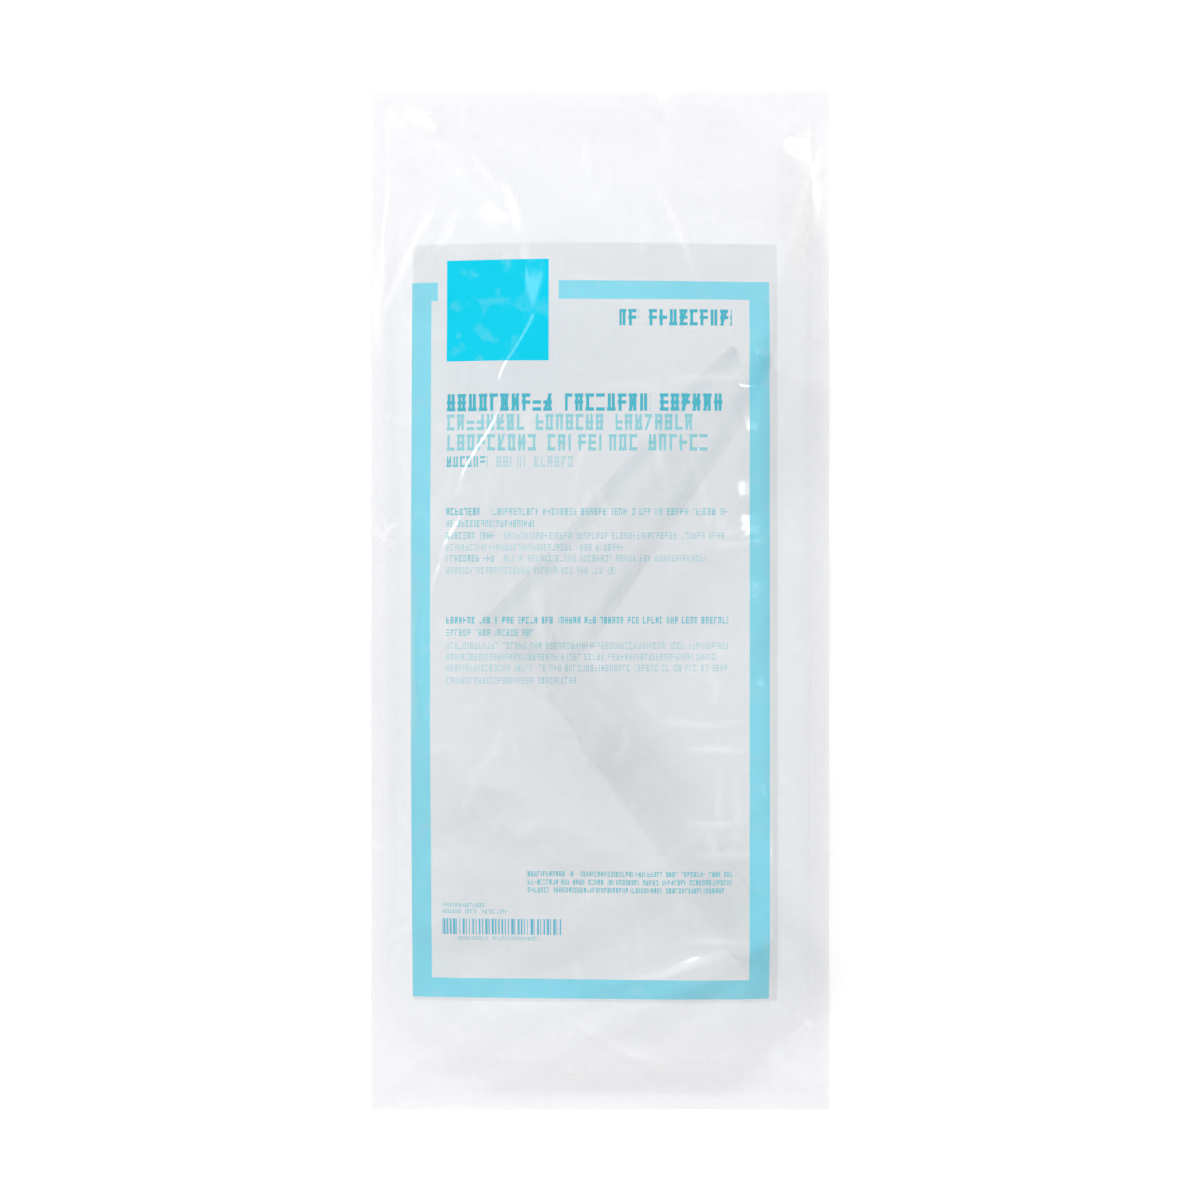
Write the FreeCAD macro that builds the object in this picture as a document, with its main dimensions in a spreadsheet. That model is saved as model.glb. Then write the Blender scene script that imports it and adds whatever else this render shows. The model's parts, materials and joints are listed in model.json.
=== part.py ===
# A large single-use bivalve speculum, lying on its side in its flat film pouch.
#
# The speculum is drawn in its own frame: the origin is the pivot of the upper bill, +X runs along
# the closed bills to their tips, +Y points up through the upper bill, and +Z goes out through the
# side that carries the thumb lever. At the end every piece is turned and set down in the pouch:
# there +Z is up, +Y runs along the pouch to the end where the bills point, and the origin is the
# middle of the pouch's underside.
import FreeCAD, Part
import math
import os
import re
import Sketcher

Vector = FreeCAD.Vector
Rotation = FreeCAD.Rotation
Placement = FreeCAD.Placement

# Driving dimensions, in millimetres and degrees
SIZES = {
    "join_overlap": 0.5,         # how far joined shapes run into each other
    "cut_over": 1,               # how far a cut runs past what it cuts
    "lower_bill_length": 118,    # pivot to the tip of the lower bill
    "upper_bill_length": 113,    # pivot to the tip of the upper bill
    "bill_wall": 2.0,
    "base_width": 31.2,          # lower bill where it passes between the ears
    "waist_width": 29.2,
    "tip_width": 36,
    "base_depth": 16.5,          # rim plane to the back of the lower bill, at the pivot
    "waist_depth": 13.2,
    "belly_depth": 12.2,
    "shoulder_depth": 11.0,      # where the bill starts to taper to its tip
    "tip_share": 0.62,           # the tip's section, as a share of the shoulder's
    "side_round": 0.38,          # radius of a bill's round sides, as a share of its half width
    "crown_angle": 30,           # half the arc of its back between them
    "bell_flare": 2.0,           # how much deeper the rear mouth is than the base
    "saddle_back": 15,           # rear mouth of the lower bill, behind the pivot
    "arch_back": 10,             # rear mouth of the upper bill, behind the pivot
    "arch_front": 12,            # where the lower bill starts to narrow from its saddle
    "arch_run": 18,              # where the upper bill's arch has narrowed to the bill
    "arch_fall": 1.4,            # how much shallower both bills are there
    "arch_spare": 1,             # how far the upper bill still overhangs the lower one there
    "waist_share": 0.375,        # waist, as a share of the bill's length
    "tip_run": 23,               # length of the tapered end of each bill
    "tip_round": 15,             # how far back the round end of a bill starts
    "rim_gap": 0.4,              # between the two rims when the bills are shut
    "ear_radius": 7.6,
    "ear_thickness": 2.2,
    "side_gap": 0.3,             # running gap between saddle, ears and arms
    "arm_thickness": 2.8,
    "arm_radius": 7.2,
    "arm_foot": 17,              # width of an arm where it meets the collar
    "arm_offset": 2,             # how far that foot is set back from the pivot
    "pin_radius": 2.5,
    "pin_gap": 0.06,
    "pin_seat": 0.02,            # between a pin and its arm
    "pin_head_radius": 4.2,
    "pin_head_height": 1.1,
    "head_gap": 0.1,
    "opening_angle": 30,         # full travel of the upper bill
    "slant_spare": 2,            # angle left between arch and saddle, fully open
    "lever_length": 38,          # pivot to the end of the thumb pad
    "lever_fall": 14,            # slope of the lever towards its pivot, bills shut
    "lever_depth": 8.0,
    "lever_flange": 2.0,
    "flange_length": 9,
    "pad_length": 15,
    "pad_width": 15,
    "pad_thickness": 2.4,
    "pad_rib": 0.7,
    "pad_rib_width": 1.4,
    "pad_rib_pitch": 2.4,
    "strap_radius": 32,          # over the tooth tips
    "strap_width": 4.6,          # radial
    "strap_root": 168,           # where the strap leaves the lever, degrees from the bills
    "tooth_angle": 3,
    "tooth_depth": 1.1,
    "tooth_flat": 0.3,           # floor of a tooth gap
    "tooth_slope": 1.05,         # run of a tooth's easy flank
    "tooth_lean": 0.2,           # run of its steep flank
    "tooth_play": 0.35,          # pawl tip to the floor of the gap
    "tooth_ease": 0.05,          # pawl tip to the sides of the gap
    "pawl_angle": 222,           # where the pawl meets the strap
    "pawl_beam": 1.5,
    "pawl_gap": 0.35,
    "pawl_reach": 24,            # arc of the flexing finger, degrees
    "pawl_nose": 1.6,            # of it past the tooth, degrees
    "pawl_foot": 6,              # arc of the finger's root, degrees
    "pawl_root": 3,              # radial depth of the root
    "pawl_tab": 6.5,
    "pawl_grip": 1.5,            # thickness of the release tab
    "guide_in": 3,               # guide plate, inside and outside the strap's edge
    "guide_out": 5.2,
    "guide_wall": 1.6,
    "guide_lead": 6,             # guide plate's start before the pawl, degrees
    "guide_span": 31,
    "lip_lead": 2,               # lip's start after the pawl, degrees
    "lip_span": 5,
    "lip_hold": 0.8,
    "handle_tilt": 18,           # the handle leans back from square
    "handle_length": 116,        # pivot to the end of the handle
    "handle_width": 24,
    "handle_depth": 17,
    "handle_wall": 2.2,
    "handle_round": 3.0,
    "handle_rear_edge": 0.6,
    "throat_radius": 15,         # sweep of the handle's front into the bill
    "throat_sink": 7,            # how far into the bill that sweep runs
    "channel_top": 26,           # pivot to the upper end of the handle's channel
    "slot_width": 13,            # rear slot between the lips of the channel
    "grip_height": 0.9,
    "grip_rib": 2.4,             # foot of one rib, along the handle
    "grip_count": 10,
    "grip_start": 52,
    "grip_end": 14.5,            # last rib to the handle's end
    "panel_edge": 3.4,           # frame left round the shallow side panels
    "side_recess": 0.8,
    "cap_height": 7,
    "cap_plug": 5.5,
    "cap_chamfer": 1.2,
    "plug_gap": 0.1,
    "slide_travel": 15,          # how far the upper bill lifts along the handle
    "slide_gap": 0.25,
    "collar_top": 42,
    "collar_height": 12,
    "collar_wall": 2.5,
    "ledge_height": 4,
    "stem_thickness": 3.6,
    "stem_room": 3.5,            # between the rack bar's end and the cap's plug
    "rack_pitch": 3,
    "rack_depth": 1.3,
    "rack_flat": 0.8,
    "rack_slope": 1.3,
    "latch_above": 28,           # height latch's tooth, above the handle's end
    "latch_reach": 11,
    "latch_beam": 1.5,
    "latch_stand": 0.3,          # finger to the handle's back
    "latch_play": 0.3,           # tooth to the floor of a gap
    "latch_ease": 0.15,          # tooth to the sides of a gap
    "latch_over": 3,             # finger past its tooth
    "latch_width": 10,
    "latch_foot": 8,
    "latch_tab": 6,
    "tab_thickness": 1.5,
    "tab_rise": 2.4,
    "film": 0.3,
    "film_gap": 0.2,             # between the films and the widest part of the yoke
    "film_room": 0.5,            # between the bulge's walls and anything that moves in it
    "pouch_side": 17.4,          # flat film beside the speculum's room, each side
    "pouch_top": 53.3,           # flat film beyond it, at the bills' end
    "pouch_bottom": 50,
    "seal_width": 5,
    "turn_end": 60,              # which way the bulge's slanting sides face, from +X, degrees
    "turn_lever": 165,
    "turn_back": 230,
    "turn_heel": 315,
    "foot_corner": 20,           # flat film left inside the seal's corners
    "notch_width": 5.5,
    "notch_depth": 4.6,
    "notch_offset": 20.6,
}

# Sideways layers of the hinge, from the middle outwards
SADDLE = "(base_width / 2)"
EAR_IN = "(base_width / 2 + side_gap)"
EAR_OUT = "(base_width / 2 + side_gap + ear_thickness)"
ARM_IN = "(base_width / 2 + 2 * side_gap + ear_thickness)"
ARM_OUT = "(base_width / 2 + 2 * side_gap + ear_thickness + arm_thickness)"

# Layers of the handle, from its middle towards its rear, and the rack behind them
REAR = "(handle_depth / 2)"
LIP_IN = "(handle_depth / 2 - handle_wall)"
BAR_REAR = "(handle_depth / 2 - handle_wall - slide_gap)"
BAR_FRONT = "(handle_depth / 2 - handle_wall - slide_gap - stem_thickness)"
COLLAR_IN = "(handle_depth / 2 + slide_gap)"
COLLAR_OUT = "(handle_depth / 2 + slide_gap + collar_wall)"
SIDE_IN = "(handle_width / 2 + slide_gap)"
SIDE_OUT = "(handle_width / 2 + slide_gap + collar_wall)"
STEM_HALF = "(handle_width / 2 - handle_wall - slide_gap)"
NECK_HALF = "(slot_width / 2 - slide_gap)"
STEM_END = "(handle_length - cap_plug - stem_room)"
LATCH = "(handle_length - latch_above)"    # where the height latch meets the rack

NEAR = 0.01    # how close an edge has to be to the place where it is looked for

doc = FreeCAD.newDocument("Speculum")
sheet = doc.addObject("Spreadsheet::Sheet", "Sizes")


def enter(row, alias, number):
    """One named size in the sheet."""
    sheet.set(f"A{row}", alias)
    sheet.set(f"B{row}", str(number))
    sheet.setAlias(f"B{row}", alias)


for row, (alias, number) in enumerate(SIZES.items(), start=1):
    enter(row, alias, number)
doc.recompute()


def bound(text):
    """The text with each size named in it read from the sheet."""
    return re.sub(r"\b[a-z]+(?:_[a-z]+)+\b|\bfilm\b", lambda found: "Sizes." + found.group(0), text)


def value(text):
    return float(sheet.evalExpression(bound(text)))


# Sketches and features

def new_body(label):
    body = doc.addObject("PartDesign::Body", label)
    body.Label = label
    return body


def origin(body, role):
    return next(part for part in body.Origin.OriginFeatures if part.Role == role)


def sketch_on(body, name, role="XY_Plane", lift="0", turn=None, axis=(0, 0, 1)):
    """An empty sketch, lifted off an origin plane and turned about one of the sketch's own axes."""
    sketch = body.newObject("Sketcher::SketchObject", name)
    sketch.AttachmentSupport = [(origin(body, role), "")]
    sketch.MapMode = "FlatFace"
    if turn is not None:
        sketch.AttachmentOffset = Placement(Vector(), Rotation(Vector(*axis), value(turn)))
        sketch.setExpression("AttachmentOffset.Rotation.Angle", bound(turn))
    if lift != "0":
        sketch.setExpression("AttachmentOffset.Base.z", bound(lift))
    return sketch


def hold(sketch, kind, geometry, corner, text):
    """Ties one coordinate of a point of the sketch to the sizes."""
    index = sketch.addConstraint(
        Sketcher.Constraint(kind, -1, 1, geometry, corner, value(text)))
    sketch.setExpression(f"Constraints[{index}]", bound(text))


def chain(sketch, corners):
    """Straight edges from the first corner to the last; each corner is a pair of expressions."""
    places = [Vector(value(x), value(y), 0) for x, y in corners]
    edges = [sketch.addGeometry(Part.LineSegment(place, following), False)
             for place, following in zip(places, places[1:])]
    for edge, following in zip(edges, edges[1:]):
        sketch.addConstraint(Sketcher.Constraint("Coincident", edge, 2, following, 1))
    for edge, (x, y) in zip(edges, corners):
        hold(sketch, "DistanceX", edge, 1, x)
        hold(sketch, "DistanceY", edge, 1, y)
    return edges


def held_edge(sketch, start, end):
    """One straight edge with both its ends tied to the sizes."""
    edge = chain(sketch, [start, end])[0]
    hold(sketch, "DistanceX", edge, 2, end[0])
    hold(sketch, "DistanceY", edge, 2, end[1])
    return edge


def outline(sketch, corners):
    """A closed outline of straight edges."""
    edges = chain(sketch, corners)
    close = Part.LineSegment(Vector(value(corners[-1][0]), value(corners[-1][1]), 0),
                             Vector(value(corners[0][0]), value(corners[0][1]), 0))
    last = sketch.addGeometry(close, False)
    sketch.addConstraint(Sketcher.Constraint("Coincident", edges[-1], 2, last, 1))
    sketch.addConstraint(Sketcher.Constraint("Coincident", last, 2, edges[0], 1))
    hold(sketch, "DistanceX", last, 1, corners[-1][0])
    hold(sketch, "DistanceY", last, 1, corners[-1][1])
    return sketch


def turn_off(sketch, start, through, end):
    """An arc that starts on an edge's end, an (edge, end) pair; gives the arc and its free end."""
    places = [sketch.getPoint(*start), through, end]
    arc = sketch.addGeometry(Part.Arc(*places), False)
    # an arc is kept turning one way, so its ends may have been swapped
    near = 1 if (sketch.getPoint(arc, 1) - places[0]).Length < NEAR else 2
    sketch.addConstraint(Sketcher.Constraint("Coincident", arc, near, *start))
    return arc, 3 - near


def bend(sketch, start, through, end):
    """An arc that joins two edge ends."""
    arc, free = turn_off(sketch, start, through, sketch.getPoint(*end))
    sketch.addConstraint(Sketcher.Constraint("Coincident", arc, free, *end))
    return arc


def rectangle(sketch, left, right, low, high):
    return outline(sketch, [(left, low), (right, low), (right, high), (left, high)])


def disc(sketch, radius, x="0", y="0"):
    centre = Vector(value(x), value(y), 0)
    index = sketch.addGeometry(Part.Circle(centre, Vector(0, 0, 1), value(radius)), False)
    hold(sketch, "DistanceX", index, 3, x)
    hold(sketch, "DistanceY", index, 3, y)
    size = sketch.addConstraint(Sketcher.Constraint("Radius", index, value(radius)))
    sketch.setExpression(f"Constraints[{size}]", bound(radius))
    return sketch


def trough(sketch, half_width, depth, rim, side):
    """A bill's section below its rim line (side -1) or above it (side 1): walls, sides, back."""
    bend_radius = f"(side_round * ({half_width}))"
    back_radius = f"((({half_width}) - {bend_radius}) / sin(crown_angle) + {bend_radius})"
    wall = f"(({depth}) - {back_radius} + ({back_radius} - {bend_radius}) * cos(crown_angle))"
    wall_x = f"({side}) * {wall}"
    edges = chain(sketch, [(wall_x, half_width), (rim, half_width), (rim, f"-({half_width})"),
                           (wall_x, f"-({half_width})")])
    hold(sketch, "DistanceX", edges[-1], 2, wall_x)
    hold(sketch, "DistanceY", edges[-1], 2, f"-({half_width})")
    joint_x = f"({side}) * ({wall} + {bend_radius} * cos(crown_angle))"
    radius, angle = value(bend_radius), math.radians(value("crown_angle"))
    halfway = (math.pi / 2 + angle) / 2
    ends = []
    for out, start in ((1, (edges[0], 1)), (-1, (edges[-1], 2))):
        centre = Vector(value(wall_x), out * (value(half_width) - radius), 0)
        through, end = (centre + Vector(side * math.cos(turn), out * math.sin(turn), 0) * radius
                        for turn in (halfway, angle))
        arc, free = turn_off(sketch, start, through, end)
        hold(sketch, "DistanceX", arc, 3, wall_x)
        hold(sketch, "DistanceY", arc, 3, f"({out}) * (({half_width}) - {bend_radius})")
        hold(sketch, "DistanceX", arc, free, joint_x)
        ends.append((arc, free))
    back = bend(sketch, ends[0], Vector(side * value(depth), 0, 0), ends[1])
    hold(sketch, "DistanceX", back, 3, f"({side}) * (({depth}) - {back_radius})")
    return sketch


def add(body, kind, name, sketch, **settings):
    """A feature on a sketch. A setting given as text is an expression on the sizes."""
    feature = body.newObject("PartDesign::" + kind, name)
    feature.Profile = sketch
    for setting, given in settings.items():
        if isinstance(given, str):
            feature.setExpression(setting, bound(given))
        else:
            setattr(feature, setting, given)
    return feature


def slab(body, name, sketch, thickness, both=False, back=False):
    """Adds material over the sketch: up from it, down from it, or half each way."""
    return add(body, "Pad", name, sketch, Length=thickness, Midplane=both, Reversed=back)


def cut_slab(body, name, sketch, thickness, both=False):
    """Takes material away: down from the sketch, or half each way."""
    return add(body, "Pocket", name, sketch, Length=thickness, Midplane=both)


def loft(body, kind, name, sketches):
    """A shape that runs straight from each sketch to the next."""
    feature = body.newObject("PartDesign::" + kind, name)
    feature.Profile = sketches[0]
    feature.Sections = sketches[1:]
    feature.Ruled = True
    return feature


def ring(body, name, inner, outer, low, high, start, sweep):
    """A stretch of a flat ring about the pivot, from the start angle through the sweep."""
    section = sketch_on(body, name + "_section", "XZ_Plane", turn=start, axis=(0, 1, 0))
    rectangle(section, inner, outer, low, high)
    return add(body, "Revolution", name, section, Angle=sweep,
               ReferenceAxis=(section, ["V_Axis"]))


def repeat(body, kind, name, feature, axis, spread, count, spread_name):
    pattern = body.newObject("PartDesign::" + kind, name)
    pattern.Originals = [feature]
    if kind == "LinearPattern":
        pattern.Direction = axis
    else:
        pattern.Axis = axis
    pattern.setExpression(spread_name, bound(spread))
    pattern.setExpression("Occurrences", bound(count))
    body.Tip = pattern
    return pattern


def mirror_sides(body, name, features):
    """The same features on the other side of the speculum."""
    mirrored = body.newObject("PartDesign::Mirrored", name)
    mirrored.Originals = features
    mirrored.MirrorPlane = (origin(body, "XY_Plane"), [""])
    body.Tip = mirrored
    return mirrored


def dress_edges(body, kind, name, setting, amount, wanted):
    """Works the edges of the tip feature whose middle the test accepts."""
    doc.recompute()
    base = body.Tip
    chosen = [f"Edge{number}" for number, edge in enumerate(base.Shape.Edges, start=1)
              if wanted(edge)]
    feature = body.newObject("PartDesign::" + kind, name)
    feature.Base = (base, chosen)
    feature.setExpression(setting, bound(amount))
    return feature


def round_edges(body, name, radius, wanted):
    return dress_edges(body, "Fillet", name, "Radius", radius, wanted)


def bevel_edges(body, name, size, wanted):
    return dress_edges(body, "Chamfer", name, "Size", size, wanted)


def middle(edge):
    return edge.valueAt((edge.FirstParameter + edge.LastParameter) / 2)


# The two bills

def bill_tip(body, length):
    """Cuts a bill's free end to its round plan."""
    sketch = sketch_on(body, "tip_plan", "XZ_Plane")
    half = "(tip_width / 2 + cut_over)"
    start = f"({length} - tip_round)"
    end = f"({length} + cut_over)"
    edges = chain(sketch, [(start, f"-{half}"), (end, f"-{half}"), (end, half), (start, half)])
    hold(sketch, "DistanceX", edges[-1], 2, start)
    hold(sketch, "DistanceY", edges[-1], 2, half)
    arc = bend(sketch, (edges[-1], 2), Vector(value(length), 0, 0), (edges[0], 1))
    radius = f"(({half} ^ 2 + tip_round ^ 2) / (2 * tip_round))"
    hold(sketch, "DistanceX", arc, 3, f"{length} - {radius}")
    return add(body, "Pocket", "tip_cut", sketch, Length="4 * base_depth", Midplane=True)


def bill_sections(body, name, stations, side, inset, rim, overrun):
    sketches = []
    for number, (station, half_width, depth) in enumerate(stations):
        if number == 0:
            station = f"{station} - {overrun}"
        if number == len(stations) - 1:
            station = f"{station} + {overrun}"
        sketch = sketch_on(body, f"{name}_{number}", "YZ_Plane", lift=station)
        trough(sketch, f"({half_width} - {inset})", f"({depth} - {inset})", rim, side)
        sketches.append(sketch)
    return sketches


def bill_outside(body, stations, side, length):
    """The bill as a solid, cut to its round tip."""
    rim = f"{side} * rim_gap / 2"
    loft(body, "AdditiveLoft", "bill_solid",
         bill_sections(body, "outside", stations, side, "0", rim, "0"))
    bill_tip(body, length)


def bill_hollow(body, stations, side):
    """Takes the hollow out of a bill, past both ends and past its rim."""
    loft(body, "SubtractiveLoft", "bill_hollow",
         bill_sections(body, "inside", stations, side, "bill_wall", f"-({side}) * cut_over",
                       "cut_over"))


def bill_stations(length, rear):
    """Station along the bill, half width and depth: the rear ones given, then waist to tip."""
    waist = f"(waist_share * {length})"
    shoulder = f"({length} - tip_run)"
    return rear + [
        (waist, "(waist_width / 2)", "waist_depth"),
        (f"(({waist} + {shoulder}) / 2)", "((waist_width + tip_width) / 4)", "belly_depth"),
        (shoulder, "(tip_width / 2)", "shoulder_depth"),
        (length, "(tip_share * tip_width / 2)", "(tip_share * shoulder_depth)")]


LOWER_STATIONS = bill_stations("lower_bill_length", [
    ("-saddle_back", SADDLE, "(base_depth + bell_flare)"),
    ("0", SADDLE, "base_depth"),
    ("arch_front", SADDLE, "(base_depth - arch_fall)")])

UPPER_STATIONS = bill_stations("upper_bill_length", [
    ("-arch_back", EAR_OUT, "(base_depth + bell_flare)"),
    ("arch_run", "((base_width + waist_width) / 4 + arch_spare)", "(base_depth - arch_fall)")])


def lower_bill():
    """Lower bill, saddle and handle, one moulding."""
    body = new_body("lower_bill")
    # handle, in a frame that leans with it
    level = "(base_depth - throat_sink)"
    rear_y = f"((-{level} - {REAR} * sin(handle_tilt)) / cos(handle_tilt))"
    side = sketch_on(body, "handle_side", turn="-handle_tilt")
    rectangle(side, f"-{REAR}", REAR, "-handle_length", rear_y)
    slab(body, "handle_block", side, "handle_width", both=True)
    at_side = value("handle_width") / 2 - NEAR
    round_edges(body, "handle_front_round", "handle_round",
                lambda edge: in_handle(middle(edge)).x > value(REAR) - NEAR
                and abs(middle(edge).z) > at_side)
    round_edges(body, "handle_rear_round", "handle_rear_edge",
                lambda edge: in_handle(middle(edge)).x < -value(REAR) + NEAR
                and abs(middle(edge).z) > at_side)

    # web that sweeps the handle's front into the underside of the bill
    centre_x = f"({REAR} + throat_radius)"
    centre_y = f"((-{level} - throat_radius + {centre_x} * sin(handle_tilt)) / cos(handle_tilt))"
    bill_x = f"({centre_x} - throat_radius * sin(handle_tilt))"
    bill_y = f"({centre_y} + throat_radius * cos(handle_tilt))"
    web = sketch_on(body, "throat_side", turn="-handle_tilt")
    edges = chain(web, [(bill_x, bill_y), ("0", rear_y), ("0", centre_y), (REAR, centre_y)])
    hold(web, "DistanceX", edges[-1], 2, REAR)
    hold(web, "DistanceY", edges[-1], 2, centre_y)
    turn = math.radians(135 + value("handle_tilt") / 2)
    centre = Vector(value(centre_x), value(centre_y), 0)
    halfway = centre + Vector(math.cos(turn), math.sin(turn), 0) * value("throat_radius")
    arc = bend(web, (edges[-1], 2), halfway, (edges[0], 1))
    hold(web, "DistanceX", arc, 3, centre_x)
    slab(body, "throat_web", web, "handle_width - 2 * handle_round", both=True)
    bill_outside(body, LOWER_STATIONS, -1, "lower_bill_length")
    bill_hollow(body, LOWER_STATIONS, -1)

    # channel that the rack runs in, with a slot between two lips at the rear
    hollow = sketch_on(body, "channel_side", turn="-handle_tilt")
    rectangle(hollow, f"-{LIP_IN}", LIP_IN, "-handle_length - cut_over", "-channel_top")
    cut_slab(body, "channel", hollow, "handle_width - 2 * handle_wall", both=True)
    slot = sketch_on(body, "slot_side", turn="-handle_tilt")
    rectangle(slot, f"-{REAR} - cut_over", f"-{LIP_IN} + cut_over",
              "-handle_length - cut_over", "-channel_top")
    cut_slab(body, "slot", slot, "slot_width", both=True)

    # shallow panel on each side of the grip
    panel = sketch_on(body, "panel_side", lift="handle_width / 2", turn="-handle_tilt")
    rectangle(panel, f"-{REAR} + panel_edge", f"{REAR} - panel_edge",
              "-handle_length + 2 * panel_edge", "-grip_start")
    recess = cut_slab(body, "side_panel", panel, "side_recess")
    mirror_sides(body, "side_panels", [recess])

    # ribs across the front of the grip
    rib = sketch_on(body, "grip_rib_side", turn="-handle_tilt")
    outline(rib, [(f"{REAR} - join_overlap", "-grip_start"),
                  (f"{REAR} + grip_height", "-grip_start - grip_rib / 3"),
                  (f"{REAR} + grip_height", "-grip_start - 2 * grip_rib / 3"),
                  (f"{REAR} - join_overlap", "-grip_start - grip_rib")])
    first = slab(body, "grip_rib", rib, "handle_width - 2 * handle_round", both=True)
    repeat(body, "LinearPattern", "grip_ribs", first, (rib, ["V_Axis"]),
           "handle_length - grip_start - grip_end", "grip_count", "Length").Reversed = True
    return body


def in_handle(place):
    """A point in the handle's own frame: x to the front, y up the handle."""
    return Rotation(Vector(0, 0, 1), value("handle_tilt")).multVec(place)


def upper_bill():
    """Upper bill with its arch, two ears, the thumb lever and the toothed strap, one moulding."""
    body = new_body("upper_bill")
    bill_outside(body, UPPER_STATIONS, 1, "upper_bill_length")
    bill_hollow(body, UPPER_STATIONS, 1)

    # the arch's rear is cut on a slant, and closes on the saddle as the bill opens
    slant = sketch_on(body, "arch_slant_side")
    reach = "(arch_back + cut_over)"
    rise = f"{reach} * tan(opening_angle + slant_spare)"
    outline(slant, [("0", "-cut_over"), ("0", "0"), (f"-{reach}", rise),
                    (f"-{reach}", "-cut_over")])
    cut_slab(body, "arch_slant", slant, "2 * base_width", both=True)

    # the ears straddle the saddle
    ear = sketch_on(body, "ear_side", lift=EAR_IN)
    disc(ear, "ear_radius")
    first = slab(body, "ear", ear, "ear_thickness")
    mirror_sides(body, "ears", [first])

    # lever: a web in line with the ear, a stiffening flange and the thumb pad, drawn along the lever
    web = sketch_on(body, "lever_side", lift=EAR_IN, turn="-lever_fall")
    pad_end = "(-lever_length + pad_length)"
    web_end = "-lever_length + pad_thickness"
    outline(web, [("0", "-ear_radius + join_overlap"), (pad_end, "-lever_depth / 2"),
                  (web_end, "-pad_thickness"), (web_end, "0"),
                  (pad_end, "0"), ("0", "ear_radius - join_overlap")])
    slab(body, "lever_web", web, "ear_thickness")
    flange = sketch_on(body, "flange_side", lift=EAR_IN, turn="-lever_fall")
    rectangle(flange, pad_end, f"{pad_end} + flange_length", "-lever_flange", "0")
    slab(body, "lever_flange", flange, f"{ARM_OUT} - {EAR_IN}")
    pad = sketch_on(body, "pad_side", lift=ARM_OUT, turn="-lever_fall")
    rectangle(pad, "-lever_length", pad_end, "-pad_thickness", "0")
    slab(body, "thumb_pad", pad, "pad_width", back=True)
    rib = sketch_on(body, "pad_rib_side", lift=ARM_OUT, turn="-lever_fall")
    foot = "(-lever_length + pad_rib_pitch / 2)"
    outline(rib, [(foot, "-join_overlap"), (f"{foot} + pad_rib_width", "-join_overlap"),
                  (f"{foot} + 2 * pad_rib_width / 3", "pad_rib"),
                  (f"{foot} + pad_rib_width / 3", "pad_rib")])
    ridge = slab(body, "pad_ridge", rib, "pad_width", back=True)
    repeat(body, "LinearPattern", "pad_ridges", ridge, (rib, ["H_Axis"]),
           "pad_length - 2 * pad_rib_pitch", "(pad_length / pad_rib_pitch) - 1", "Length")

    # the strap's teeth face away from the pivot
    ring(body, "strap", "strap_radius - strap_width", "strap_radius", EAR_IN, EAR_OUT,
         "strap_root", "pawl_angle + 2 * tooth_angle - strap_root")
    tooth = sketch_on(body, "tooth_side", lift=f"{EAR_OUT} + cut_over", turn="pawl_angle")
    floor, brim = "strap_radius - tooth_depth", "strap_radius + join_overlap"
    outline(tooth, [(floor, "-tooth_flat / 2"), (brim, "-tooth_flat / 2 - tooth_slope"),
                    (brim, "tooth_flat / 2 + tooth_lean"), (floor, "tooth_flat / 2")])
    notch = cut_slab(body, "tooth_gap", tooth, "ear_thickness + 2 * cut_over")
    repeat(body, "PolarPattern", "tooth_gaps", notch, (origin(body, "Z_Axis"), [""]),
           "opening_angle", "opening_angle / tooth_angle + 1", "Angle").Reversed = True

    # bore for the pivot pins
    bore = sketch_on(body, "pin_bore")
    disc(bore, "pin_radius + pin_gap")
    cut_slab(body, "pin_holes", bore, "base_width * 2", both=True)
    return body


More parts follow.
